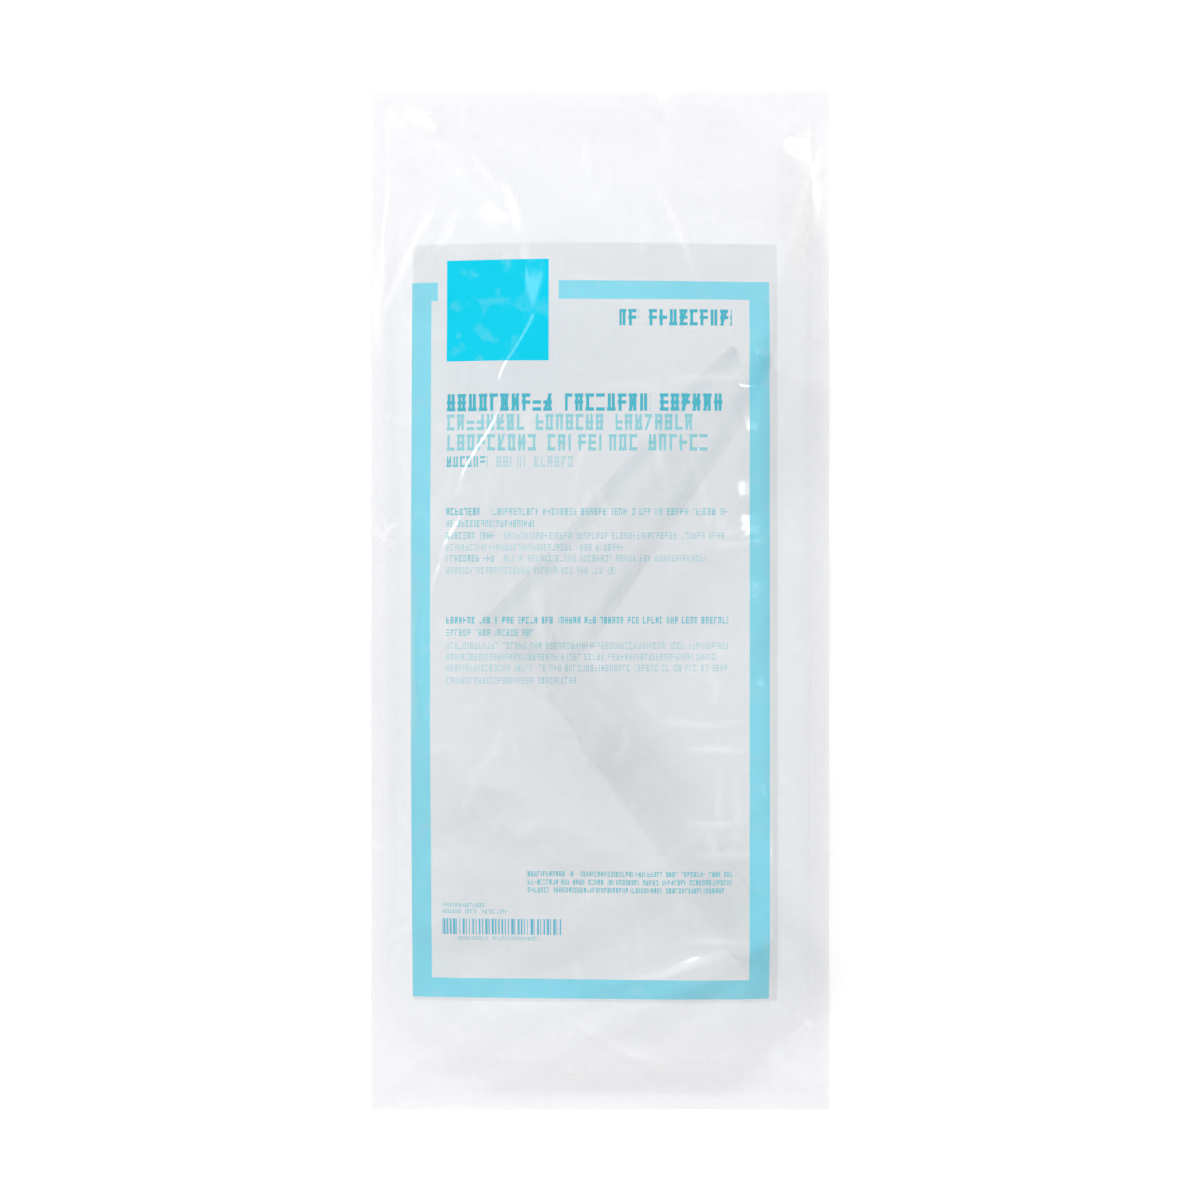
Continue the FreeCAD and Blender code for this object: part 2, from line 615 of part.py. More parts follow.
def yoke_slide():
    """Fork that carries the upper bill, with the collar and rack that slide on the handle."""
    body = new_body("yoke_slide")
    lean = "-handle_tilt"

    # arms, from the pivot down to the collar's ledge
    arm = sketch_on(body, "arm_side", lift=ARM_IN, turn=lean)
    foot_rear, foot_front = "-arm_foot / 2 - arm_offset", "arm_foot / 2 - arm_offset"
    foot_low = "-collar_top - ledge_height"
    outline(arm, [("-arm_radius + join_overlap", "0"), (foot_rear, foot_low),
                  (foot_front, foot_low), ("arm_radius - join_overlap", "0")])
    plate = slab(body, "arm", arm, "arm_thickness")
    head = sketch_on(body, "arm_head_side", lift=ARM_IN, turn=lean)
    disc(head, "arm_radius")
    boss = slab(body, "arm_head", head, "arm_thickness")
    ledge = sketch_on(body, "ledge_side", lift=SIDE_IN, turn=lean)
    rectangle(ledge, foot_rear, foot_front, foot_low, "-collar_top")
    step = slab(body, "ledge", ledge, f"{ARM_OUT} - {SIDE_IN}")
    cheek = sketch_on(body, "cheek_side", lift=SIDE_IN, turn=lean)
    collar_low = "-collar_top - collar_height"
    rectangle(cheek, f"-{COLLAR_OUT}", foot_front, collar_low, "-collar_top")
    wall = slab(body, "collar_cheek", cheek, "collar_wall")
    mirror_sides(body, "both_sides", [plate, boss, step, wall])

    # rear wall of the collar, its neck through the slot, and the bar inside the channel
    back = sketch_on(body, "collar_back_side", turn=lean)
    rectangle(back, f"-{COLLAR_OUT}", f"-{COLLAR_IN}", collar_low, "-collar_top")
    slab(body, "collar_back", back, f"2 * {SIDE_OUT}", both=True)
    neck = sketch_on(body, "neck_side", turn=lean)
    rectangle(neck, f"-{COLLAR_IN} - join_overlap", f"-{BAR_REAR} + join_overlap",
              collar_low, "-collar_top")
    slab(body, "neck", neck, f"2 * {NECK_HALF}", both=True)
    bar = sketch_on(body, "bar_side", turn=lean)
    rectangle(bar, f"-{BAR_REAR}", f"-{BAR_FRONT}", f"-{STEM_END}", "-collar_top")
    slab(body, "rack_bar", bar, f"2 * {STEM_HALF}", both=True)
    rail = sketch_on(body, "rail_side", turn=lean)
    rectangle(rail, f"-{REAR} + slide_gap", f"-{BAR_REAR} + join_overlap", f"-{STEM_END}",
              f"{collar_low} + join_overlap")
    slab(body, "rack_rail", rail, f"2 * {NECK_HALF}", both=True)

    # rack: the lowest gap meets the latch when the slide is fully raised
    gap = sketch_on(body, "rack_gap_side", turn=lean)
    brim, floor = f"-{REAR} - join_overlap", f"-{REAR} + rack_depth"
    outline(gap, [(brim, f"-{LATCH} + rack_flat / 2"), (floor, f"-{LATCH} + rack_flat / 2"),
                  (floor, f"-{LATCH} - rack_flat / 2"),
                  (brim, f"-{LATCH} - rack_flat / 2 - rack_slope")])
    notch = cut_slab(body, "rack_gap", gap, "slot_width + 2 * cut_over", both=True)
    repeat(body, "LinearPattern", "rack_gaps", notch, (gap, ["V_Axis"]),
           "slide_travel", "slide_travel / rack_pitch + 1", "Length").Reversed = True

    # curved guide that steadies the strap beside the arm on the lever's side
    outside = "strap_radius + guide_out"
    ring(body, "guide_plate", "strap_radius - guide_in", outside, ARM_IN, ARM_OUT,
         "pawl_angle - guide_lead", "guide_span")
    ring(body, "guide_back", "strap_radius + pawl_root", outside, f"{EAR_IN} - guide_wall",
         f"{ARM_IN} + join_overlap", "pawl_angle + lip_lead", "lip_span")
    ring(body, "guide_lip", "strap_radius - lip_hold", outside, f"{EAR_IN} - guide_wall",
         f"{EAR_IN} - side_gap", "pawl_angle + lip_lead", "lip_span")

    # seats for the pivot pins, with a step for their heads
    bore = sketch_on(body, "pin_bore")
    disc(bore, "pin_radius + pin_seat")
    cut_slab(body, "pin_holes", bore, "base_width * 2", both=True)
    sink = sketch_on(body, "pin_sink", lift=ARM_OUT)
    disc(sink, "pin_head_radius + head_gap")
    first = cut_slab(body, "head_sink", sink, "pin_head_height")
    mirror_sides(body, "head_sinks", [first])
    return body


def pivot_pin(side_name, side):
    """Headed pin pressed into an arm, on which an ear turns."""
    body = new_body(f"pivot_pin_{side_name}")
    lift = ARM_OUT if side > 0 else f"-{ARM_OUT}"
    head = sketch_on(body, "head_plan", lift=lift)
    disc(head, "pin_head_radius")
    slab(body, "head", head, "pin_head_height", back=side > 0)
    shank = sketch_on(body, "shank_plan", lift=lift)
    disc(shank, "pin_radius")
    slab(body, "shank", shank, f"{ARM_OUT} - {EAR_IN}", back=side > 0)
    return body


def angle_pawl():
    """Finger that drops into the strap's teeth and holds the opening."""
    body = new_body("angle_pawl")
    inner, outer = "strap_radius + pawl_gap", "strap_radius + pawl_gap + pawl_beam"
    ring(body, "finger", inner, outer, EAR_IN, EAR_OUT, "pawl_angle - pawl_nose", "pawl_reach")
    ring(body, "foot", inner, "strap_radius + pawl_root", EAR_IN, ARM_IN,
         "pawl_angle - pawl_nose + pawl_reach - pawl_foot", "pawl_foot")
    tooth = sketch_on(body, "tooth_side", lift=EAR_IN, turn="pawl_angle")
    tip = "strap_radius - tooth_depth + tooth_play"
    outline(tooth, [(tip, "-tooth_flat / 2 + tooth_ease"), (outer, "-tooth_flat / 2 - tooth_slope"),
                    (outer, "tooth_flat / 2 + tooth_lean"), (tip, "tooth_flat / 2 - tooth_ease")])
    slab(body, "tooth", tooth, "ear_thickness")
    low, high = "-0.6 * pawl_grip", "0.4 * pawl_grip"
    tab = sketch_on(body, "tab_side", lift=EAR_IN, turn="pawl_angle")
    rectangle(tab, inner, f"{outer} + pawl_tab", low, high)
    slab(body, "release_tab", tab, "ear_thickness")
    grip = sketch_on(body, "tab_grip_side", lift=EAR_IN, turn="pawl_angle")
    rectangle(grip, "strap_radius + guide_out + pawl_gap", f"{outer} + pawl_tab", low, high)
    slab(body, "release_grip", grip, f"{ARM_OUT} - {EAR_IN}")
    return body


def height_latch():
    """Finger on the back of the handle that drops into the rack."""
    body = new_body("height_latch")
    lean = "-handle_tilt"
    start = f"({LATCH} + latch_reach)"
    foot = sketch_on(body, "foot_side", turn=lean)
    rectangle(foot, f"-{REAR} - latch_beam - 2 * latch_stand", f"-{REAR}",
              f"-{start} - latch_foot", f"-{start}")
    slab(body, "foot", foot, "handle_width - 2 * handle_rear_edge", both=True)
    finger = sketch_on(body, "finger_side", turn=lean)
    rectangle(finger, f"-{REAR} - latch_beam - latch_stand", f"-{REAR} - latch_stand",
              f"-{start} - join_overlap", f"-{LATCH} + latch_over")
    slab(body, "finger", finger, "latch_width", both=True)
    tooth = sketch_on(body, "tooth_side", turn=lean)
    root, tip = f"-{REAR} - join_overlap", f"-{REAR} + rack_depth - latch_play"
    upper, lower = f"-{LATCH} + rack_flat / 2 - latch_ease", f"-{LATCH} - rack_flat / 2 + latch_ease"
    outline(tooth, [(root, upper), (tip, upper), (tip, lower),
                    (root, f"{lower} - rack_slope + latch_ease")])
    slab(body, "tooth", tooth, f"2 * {NECK_HALF} - 2 * cut_over", both=True)
    tab = sketch_on(body, "tab_side", turn=lean)
    near, far = f"-{REAR} - 2 * latch_stand", f"-{REAR} - latch_tab"
    top = f"-{LATCH} + latch_over"
    outline(tab, [(near, f"{top} - tab_thickness"), (near, top), (far, f"{top} + tab_rise"),
                  (far, f"{top} + tab_rise - tab_thickness")])
    slab(body, "release_tab", tab, "latch_width", both=True)
    return body


def handle_cap():
    """Rounded plug that shuts the handle's end and stops the rack."""
    body = new_body("handle_cap")
    lean = "-handle_tilt"
    end = sketch_on(body, "end_side", turn=lean)
    rectangle(end, f"-{REAR}", REAR, "-handle_length - cap_height", "-handle_length")
    slab(body, "end", end, "handle_width", both=True)
    side = value("handle_width") / 2 - NEAR
    round_edges(body, "side_round", "handle_round",
                lambda edge: abs(in_handle(middle(edge)).x) > value(REAR) - NEAR
                and abs(middle(edge).z) > side)
    foot = value("-handle_length - cap_height") + NEAR
    bevel_edges(body, "end_bevel", "cap_chamfer", lambda edge: in_handle(middle(edge)).y < foot)
    plug = sketch_on(body, "plug_side", turn=lean)
    rectangle(plug, f"-{LIP_IN} + plug_gap", f"{LIP_IN} - plug_gap",
              "-handle_length", "-handle_length + cap_plug")
    slab(body, "plug", plug, "handle_width - 2 * handle_wall - 2 * plug_gap", both=True)
    return body


# The pouch

POUCH_WIDTH = "(reach_width + 2 * pouch_side)"
POUCH_LENGTH = "(reach_length + pouch_top + pouch_bottom)"
BULGE_SHIFT = "((pouch_bottom - pouch_top) / 2)"

# Outside of the bulge, above the pouch's underside
BULGE_TOP = f"(2 * film + 2 * film_gap + 2 * {ARM_OUT})"

# Which way each side of the bulge faces, and how far that way the speculum can reach
BULGE_SIDES = [("0", "reach_right"), ("turn_end", "reach_end"),
               ("90", "reach_top"), ("turn_lever", "reach_lever"),
               ("180", "reach_left"), ("turn_back", "reach_back"),
               ("270", "reach_bottom"), ("turn_heel", "reach_heel")]


def all_positions(bodies, turned, up_handle):
    """The speculum's pieces wherever its joints can take them."""
    shapes = []
    for body in bodies:
        slides = body.Label not in ("lower_bill", "height_latch", "handle_cap")
        for lift in (0, value("slide_travel")) if slides else (0,):
            for share in (0, 0.25, 0.5, 0.75, 1) if body.Label == "upper_bill" else (0,):
                swung = Rotation(Vector(0, 0, 1), share * value("opening_angle"))
                shape = body.Shape.copy()
                shape.Placement = Placement(turned.multVec(up_handle * lift), turned * swung)
                shapes.append(shape)
    return shapes


def reach(shapes, facing):
    """The box round all the shapes, whose length in X is measured the way that the angle gives."""
    box = FreeCAD.BoundBox()
    for shape in shapes:
        faced = shape.copy()
        faced.rotate(Vector(), Vector(0, 0, 1), -facing)
        box.add(faced.optimalBoundingBox(False, False))
    return box


def lie_down(bodies):
    """Sets the speculum on its side in the pouch and notes the room that all its motion needs."""
    lean = math.radians(value("handle_tilt"))
    up_handle = Vector(math.sin(lean), math.cos(lean), 0)
    heel = up_handle * -value("handle_length + cap_height")
    along = Vector(value("lower_bill_length"), 0, 0) - heel
    turned = Rotation(Vector(0, 0, 1), 90 - math.degrees(math.atan2(along.y, along.x)))
    shapes = all_positions(bodies, turned, up_handle)
    room = reach(shapes, 0)
    row = len(SIZES) + 1
    enter(row, "reach_width", round(room.XLength, 2))
    enter(row + 1, "reach_length", round(room.YLength, 2))
    doc.recompute()
    level = value(f"film + film_gap + {ARM_OUT}")
    base = Vector(-room.Center.x, value(BULGE_SHIFT) - room.Center.y, level)
    for number, (facing, alias) in enumerate(BULGE_SIDES, start=2):
        turn = math.radians(value(facing))
        out = Vector(math.cos(turn), math.sin(turn), 0)
        enter(row + number, alias, round(reach(shapes, value(facing)).XMax + out.dot(base), 2))
    doc.recompute()
    for body in bodies:
        body.Placement = Placement(base, turned)


def film_outline(sketch):
    """The pouch's outline, with the tear notch in its top edge."""
    side, end = f"({POUCH_WIDTH} / 2)", f"({POUCH_LENGTH} / 2)"
    return outline(sketch, [
        (f"-{side}", f"-{end}"), (side, f"-{end}"), (side, end),
        ("notch_offset + notch_width / 2", end), ("notch_offset", f"{end} - notch_depth"),
        ("notch_offset - notch_width / 2", end), (f"-{side}", end)])


def foot_reach(turn):
    """How far from the pouch's middle the foot of the bulge's side that faces this way is."""
    side, end = f"({POUCH_WIDTH} / 2 - seal_width)", f"({POUCH_LENGTH} / 2 - seal_width)"
    return (f"(abs(cos({turn})) * {side} + abs(sin({turn})) * {end}"
            f" - foot_corner * abs(sin(2 * {turn})))")


def bulge_block(body, inset):
    """The room under the bulge as a solid with flat sides, that much inside its outer faces."""
    top = f"({BULGE_TOP} - {inset})"
    sides = [(turn, f"({foot_reach(turn)} - {inset})") for turn, _ in BULGE_SIDES]
    corners = []
    for (turn, near), (following, far) in zip(sides, sides[1:] + sides[:1]):
        between = f"sin({following} - {turn})"
        corners.append((f"({near} * sin({following}) - {far} * sin({turn})) / {between}",
                        f"({far} * cos({turn}) - {near} * cos({following})) / {between}"))
    foot = outline(sketch_on(body, "bulge_foot", lift="film"), corners)
    slab(body, "bulge_block", foot, f"{top} - film")
    for number, ((turn, far), (_, reached)) in enumerate(zip(sides, BULGE_SIDES)):
        wall = sketch_on(body, f"wall_{number}_section", "XZ_Plane", turn=turn, axis=(0, 1, 0))
        outline(wall, [(far, "film"), (f"{reached} + film_room + film - {inset}", top),
                       (f"{reached} + film_room", f"{top} + cut_over"),
                       (f"{far} + cut_over", f"{top} + cut_over"), (f"{far} + cut_over", "film")])
        add(body, "Pocket", f"wall_{number}", wall, Length=f"2 * {POUCH_LENGTH}", Midplane=True)


def back_film():
    body = new_body("back_film")
    slab(body, "sheet", film_outline(sketch_on(body, "sheet_plan")), "film")
    return body


def front_film():
    """Front film: a bulge drawn tight over the speculum, and a flat border sealed to the back film."""
    body, hollow = new_body("front_film"), new_body("bulge_hollow")
    bulge_block(body, "0")
    slab(body, "border", film_outline(sketch_on(body, "border_plan", lift="film")), "film")
    bulge_block(hollow, "film")
    doc.recompute()
    cut = body.newObject("PartDesign::Boolean", "hollow_cut")
    cut.Type = "Cut"
    cut.addObjects([hollow])
    return body


def main():
    speculum = [lower_bill(), upper_bill(), yoke_slide(), angle_pawl(), height_latch(),
                handle_cap(), pivot_pin("left", -1), pivot_pin("right", 1)]
    doc.recompute()
    lie_down(speculum)
    pieces = speculum + [back_film(), front_film()]
    doc.recompute()

    failed = [item.Label for item in doc.Objects
              if "Invalid" in item.State or "Error" in item.State]
    unsound = [piece.Label for piece in pieces
               if piece.Shape.isNull() or not piece.Shape.isValid() or not piece.Shape.Solids]
    if failed or unsound:
        raise SystemExit(f"features that failed: {failed}; pieces that are not sound: {unsound}")
    os.makedirs("parts", exist_ok=True)
    for piece in pieces:
        piece.Shape.exportStep(f"parts/{piece.Label}.step")
        print(f"{piece.Label}: {len(piece.Shape.Solids)} solid, {piece.Shape.Volume:.0f} mm3")
    print(f"room for the speculum {value('reach_width'):.1f} by {value('reach_length'):.1f} mm, "
          f"pouch {value(POUCH_WIDTH):.1f} by {value(POUCH_LENGTH):.1f} mm")


main()
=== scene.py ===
import bmesh
import bpy
import json
import math
import random
import numpy as np
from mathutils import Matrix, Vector
from mathutils.bvhtree import BVHTree


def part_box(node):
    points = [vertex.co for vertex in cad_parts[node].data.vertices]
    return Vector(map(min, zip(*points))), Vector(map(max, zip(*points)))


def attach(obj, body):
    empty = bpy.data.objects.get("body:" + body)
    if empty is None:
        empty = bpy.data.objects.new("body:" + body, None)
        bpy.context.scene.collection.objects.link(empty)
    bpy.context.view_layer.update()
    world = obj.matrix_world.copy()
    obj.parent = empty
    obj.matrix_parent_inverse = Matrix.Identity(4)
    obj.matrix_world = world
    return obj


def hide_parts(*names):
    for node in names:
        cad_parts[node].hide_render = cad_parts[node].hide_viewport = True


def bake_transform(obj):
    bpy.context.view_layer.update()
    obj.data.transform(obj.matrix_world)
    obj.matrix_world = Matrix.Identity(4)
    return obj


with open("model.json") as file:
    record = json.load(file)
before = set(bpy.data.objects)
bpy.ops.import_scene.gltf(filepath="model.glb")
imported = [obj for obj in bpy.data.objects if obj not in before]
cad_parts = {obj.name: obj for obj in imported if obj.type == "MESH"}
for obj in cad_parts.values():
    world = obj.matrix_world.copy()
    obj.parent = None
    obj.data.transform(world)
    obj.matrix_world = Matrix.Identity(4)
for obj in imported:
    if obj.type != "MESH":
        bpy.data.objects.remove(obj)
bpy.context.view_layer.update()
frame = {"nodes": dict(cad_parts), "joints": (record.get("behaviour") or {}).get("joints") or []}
print("frame loaded")

mm = 0.001


def linear(hexCode):
    # sRGB hex to the linear colour that the shader takes
    colour = []
    for start in (1, 3, 5):
        value = int(hexCode[start:start + 2], 16) / 255
        colour.append(value / 12.92 if value <= 0.04045 else ((value + 0.055) / 1.055) ** 2.4)
    return colour + [1.0]


def addNode(tree, kind, settings=None, links=None):
    node = tree.nodes.new("ShaderNode" + kind)
    for name, value in (settings or {}).items():
        if isinstance(name, int) or name in node.inputs:
            node.inputs[name].default_value = value
        else:
            setattr(node, name, value)
    for name, source in (links or {}).items():
        tree.links.new(source, node.inputs[name])
    return node


def newMaterial(name):
    material = bpy.data.materials.new(name)
    material.use_nodes = True
    material.node_tree.nodes.clear()
    return material, material.node_tree


# ---- camera, light and table ----

studio = {
    "cameraHeight": 2.5,
    "viewWidth": 0.393,          # what the picture's 1200 pixels span on the table
    "sensor": 36.0,
    "clipEnd": 20.0,
    "clearLayers": 32,           # two films and a clear moulding's many walls
    "worldLevel": 0.67,
    "keySize": 0.5,
    "keyPower": 13.0,
    "keyPlace": (-0.92, 0.70, 1.42),
    "fillSize": 2.4,
    "fillPower": 8.0,
    "fillPlace": (1.6, -1.4, 1.9),
    "rimSize": 0.15,
    "rimPower": 2.4,
    "rimPlace": (1.3, 0.35, 0.9),
    "tableSize": 5.0,
    "tableColour": "#CFCFCF",
    "tableRoughness": 0.9,
    "tableGlow": 0.42,
}

scene = bpy.context.scene
scene.view_settings.view_transform = "Standard"
scene.cycles.transparent_max_bounces = studio["clearLayers"]

cameraData = bpy.data.cameras.new("camera")
cameraData.sensor_width = studio["sensor"]
cameraData.lens = studio["sensor"] * studio["cameraHeight"] / studio["viewWidth"]
cameraData.clip_end = studio["clipEnd"]
camera = bpy.data.objects.new("camera", cameraData)
camera.location = (0, 0, studio["cameraHeight"])
scene.collection.objects.link(camera)
scene.camera = camera


def addSoftbox(name, size, power, place):
    lampData = bpy.data.lights.new(name, "AREA")
    lampData.size = size
    lampData.energy = power
    lamp = bpy.data.objects.new(name, lampData)
    lamp.location = place
    lamp.rotation_euler = (-Vector(place)).to_track_quat("-Z", "Y").to_euler()
    scene.collection.objects.link(lamp)


for lampName in ("key", "fill", "rim"):
    addSoftbox(lampName + "_softbox", studio[lampName + "Size"], studio[lampName + "Power"],
               studio[lampName + "Place"])

# the world is white where the eye, a gloss or a clear piece sees it, and a plain level elsewhere
world = bpy.data.worlds.new("plain_studio")
world.use_nodes = True
scene.world = world
worldTree = world.node_tree
worldTree.nodes.clear()
seen = addNode(worldTree, "LightPath")
glossOrClear = addNode(worldTree, "Math", {"operation": "MAXIMUM"},
                       {0: seen.outputs["Is Glossy Ray"], 1: seen.outputs["Is Transmission Ray"]})
anySight = addNode(worldTree, "Math", {"operation": "MAXIMUM"},
                   {0: glossOrClear.outputs[0], 1: seen.outputs["Is Camera Ray"]})
worldStrength = addNode(worldTree, "MapRange", {"To Min": studio["worldLevel"], "To Max": 1.0},
                        {"Value": anySight.outputs[0]})
worldLight = addNode(worldTree, "Background", {"Color": (1, 1, 1, 1)},
                     {"Strength": worldStrength.outputs[0]})
addNode(worldTree, "OutputWorld", {}, {"Surface": worldLight.outputs[0]})


def paintedTable():
    # matt white sweep: its own shade carries the shadow, and a lift that only the camera and
    # glosses see makes it read white
    material, tree = newMaterial("matt_white_sweep")
    path = addNode(tree, "LightPath")
    sight = addNode(tree, "Math", {"operation": "MAXIMUM"},
                    {0: path.outputs["Is Camera Ray"], 1: path.outputs["Is Glossy Ray"]})
    lift = addNode(tree, "Math", {"operation": "MULTIPLY", 1: studio["tableGlow"]},
                   {0: sight.outputs[0]})
    surface = addNode(tree, "BsdfPrincipled",
                      {"Base Color": linear(studio["tableColour"]),
                       "Roughness": studio["tableRoughness"],
                       "Specular IOR Level": 0.0, "Emission Color": (1, 1, 1, 1)},
                      {"Emission Strength": lift.outputs[0]})
    addNode(tree, "OutputMaterial", {}, {"Surface": surface.outputs[0]})
    return material


half = studio["tableSize"] / 2
tableMesh = bpy.data.meshes.new("table_sweep")
tableMesh.from_pydata([(-half, -half, 0), (half, -half, 0), (half, half, 0), (-half, half, 0)],
                      [], [(0, 1, 2, 3)])
table = bpy.data.objects.new("table_sweep", tableMesh)
tableMesh.materials.append(paintedTable())
scene.collection.objects.link(table)
print("studio set")

# ---- the printing on the front film, in mm from the pouch's middle ----

printing = {
    "seed": 11,
    "panel": (-60.8, 57.4, -130.4, 115.4),
    "frameOuter": (-61.1, 54.8, -129.3, 103.0),
    "frameInner": (-54.7, 48.2, -122.9, 97.0),
    "frameGap": (-52.6, -13.3),
    "square": (-49.6, -16.5, 77.1, 110.0),
    "letterPitch": 0.62,         # share of a row's height
    "wordGap": 0.6,              # in letters
    "headingGap": 0.9,
    "headingWord": 15,           # a row whose longest word is over this many mm is a heading
}

# each row: left, right, bottom, top, shortest and longest word, and the ink
textRows = [
    (5.7, 14.9, 88.4, 93.7, 9.0, 9.0, "title"),
    (15.6, 43.4, 88.4, 93.7, 27.0, 27.0, "title"),
    (-49.6, 43.1, 60.9, 66.5, 22.0, 34.0, "title"),
    (-49.6, 30.9, 54.7, 59.9, 20.0, 32.0, "second"),
    (-49.6, 43.1, 48.1, 53.4, 20.0, 34.0, "second"),
    (-49.6, -36.5, 42.8, 46.3, 12.0, 12.0, "small"),
    (-33.5, -5.7, 42.8, 46.3, 10.0, 14.0, "faint"),
    (-49.6, -36.0, 27.3, 29.6, 12.0, 12.0, "small"),
    (-34.5, 41.4, 27.3, 29.6, 3.0, 11.0, "smallPale"),
    (-49.6, -21.0, 23.5, 25.7, 3.0, 9.0, "smallPale"),
    (-49.6, -33.0, 19.6, 21.8, 6.0, 12.0, "smallPale"),
    (-31.0, 41.4, 19.6, 21.8, 3.0, 11.0, "faint"),
    (-49.6, 10.0, 15.9, 18.1, 3.0, 10.0, "faint"),
    (-49.6, -33.0, 12.3, 14.5, 6.0, 12.0, "smallPale"),
    (-31.0, 34.0, 12.3, 14.5, 3.0, 11.0, "faint"),
    (-49.6, 5.0, 8.4, 10.6, 3.0, 10.0, "faint"),
    (-49.6, 41.4, -7.6, -5.4, 3.0, 11.0, "small"),
    (-49.6, -20.0, -11.6, -9.4, 3.0, 9.0, "smallPale"),
    (-49.6, 41.4, -15.8, -13.6, 3.0, 11.0, "faint"),
    (-49.6, 38.0, -19.4, -17.2, 3.0, 10.0, "faint"),
    (-49.6, 41.4, -23.0, -20.8, 3.0, 11.0, "faint"),
    (-49.6, -5.0, -27.0, -24.8, 3.0, 10.0, "faint"),
    (-23.4, 42.8, -89.2, -87.5, 3.0, 9.0, "small"),
    (-23.4, 42.8, -91.9, -90.2, 3.0, 9.0, "small"),
    (-23.4, 42.8, -94.5, -92.8, 3.0, 9.0, "small"),
    (-51.4, -37.0, -99.5, -98.1, 4.0, 6.0, "smallPale"),
    (-51.4, -29.6, -101.5, -100.1, 4.0, 7.0, "smallPale"),
    (-51.4, -12.4, -108.4, -103.2, 40.0, 40.0, "stripes"),
    (-46.8, -18.0, -110.3, -109.1, 3.0, 6.0, "smallPale"),
]

# ---- film shape, in mm ----

pouch = {
    "cell": 1.25,                # mesh spacing
    "closest": 0.45,             # share of a cell that two of its lines keep apart
    "seal": 5.0,                 # welded border
    "sealSlack": 0.1,
    "footBelow": 1.0,            # the solid's vertices lower than this aren't on the bulge
    "backHeight": 0.12,          # the back film's middle height
    "filmGap": 0.10,             # between the two films where they are welded
    "clearance": 0.35,           # front film over the moulding
    "leastOver": 0.2,            # the same where folds would lift the film past the highest
    "highest": 43.7,
    "rasterStep": 1.0,
    "travelSteps": 4,            # places of the slide and of the upper bill that are measured
    "swingSteps": 9,
    "softenRounds": 10,
    "notchMiddle": 20.6,
    "notchHalf": 2.75,
    "notchDepth": 4.6,
    "notchReach": 12,            # how far below the edge the film is drawn down to it
    "crestWhiteAndGlintAt": 1.1,              # a ridge so high is white along its crest: stress-whitened film and a painted highlight
    "crestWhiteAndGlintPower": 1.5,
    "foldFade": 0.6,             # how blunt a fold's ends are
    "slackReach": 12.0,          # from the seal to where the folds are at full height
}

# folds seen on the film: points (mm), height and half-width (mm)
folds = [
    ([(-64.0, 161.8), (-58.5, 157.0), (-52.6, 153.6)], 1.3, 2.2),
    ([(-61.0, 160.0), (-54.0, 158.5)], 0.8, 1.4),
    ([(-32.9, 137.2), (-29.0, 131.0), (-27.0, 124.0), (-25.4, 117.6)], 1.1, 1.7),
    ([(-25.4, 117.6), (-24.0, 108.0), (-24.5, 98.0)], 0.7, 1.6),
    ([(74.0, 150.3), (69.0, 138.0), (66.0, 126.0), (62.1, 107.7)], 1.4, 2.4),
    ([(73.0, 128.0), (66.5, 116.0), (63.0, 104.0)], 0.9, 1.8),
    ([(-52.6, 132.3), (-60.0, 118.0), (-66.0, 104.0), (-74.8, 88.1)], 0.9, 1.8),
    ([(-46.0, 128.0), (-50.0, 119.0), (-54.0, 112.0)], 0.7, 1.5),
    ([(-74.8, 24.2), (-70.0, 19.0), (-65.7, 16.0)], 0.9, 1.6),
    ([(-13.3, -151.0), (-8.5, -155.0), (-3.4, -159.2)], 0.9, 1.5),
    ([(-42.7, -155.9), (-38.0, -159.5), (-34.6, -162.4)], 0.8, 1.5),
    ([(63.7, -134.6), (68.0, -138.5), (71.9, -141.2)], 0.9, 1.6),
    ([(-4.4, 153.6), (-4.4, 137.2)], 0.5, 1.5),
    ([(-42.7, 147.0), (-31.3, 130.7)], 0.6, 1.5),
    ([(16.2, 140.5), (25.0, 122.0), (32.6, 101.2)], 0.6, 1.6),
    ([(26.0, -47.8), (49.0, -48.6)], 0.6, 1.5),
    ([(26.0, -72.4), (49.0, -72.0)], 0.6, 1.5),
    ([(24.0, -110.0), (49.0, -110.6)], 0.6, 1.5),
    ([(20.0, 70.6), (38.0, 72.0), (54.0, 71.6)], 0.45, 1.6),
    ([(30.0, 17.2), (54.0, 18.4)], 0.45, 1.5),
    ([(14.0, -38.6), (34.0, -40.2), (48.0, -39.4)], 0.5, 1.5),
    ([(28.0, -82.4), (53.0, -81.6)], 0.5, 1.5),
    ([(-71.0, 118.0), (-73.0, 96.0), (-72.0, 74.0)], 1.2, 2.2),
    ([(66.5, 150.0), (70.5, 132.0), (69.0, 112.0)], 1.3, 2.6),
    ([(-71.5, 20.0), (-66.0, 26.0)], 1.0, 1.5),
    ([(60.0, 84.8), (74.0, 85.6)], 0.5, 1.4),
    ([(60.0, 71.7), (74.0, 72.6)], 0.5, 1.4),
    ([(-3.4, -126.4), (21.0, -121.0), (45.7, -111.7)], 0.7, 1.8),
    ([(-13.3, -134.6), (15.0, -151.0), (45.7, -155.9)], 0.7, 2.4),
    ([(-68.0, -20.0), (-70.0, -60.0), (-67.0, -95.0)], 0.5, 2.0),
    ([(68.0, 20.0), (70.0, -30.0), (66.0, -80.0)], 0.6, 2.0),
]

low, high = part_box("back_film")
halfWidth = (high.x - low.x) / 2 / mm
halfLength = (high.y - low.y) / 2 / mm


def gridLines(limit, wanted):
    # even lines across the film, with a line wherever the printing has an edge
    count = int(round(2 * limit / pouch["cell"]))
    even = np.linspace(-limit, limit, count + 1)
    closest = pouch["closest"] * pouch["cell"]
    lines = [v for v in even[1:-1] if min(abs(v - w) for w in wanted) > closest]
    return np.array(sorted(lines + list(wanted) + [-limit, limit]))


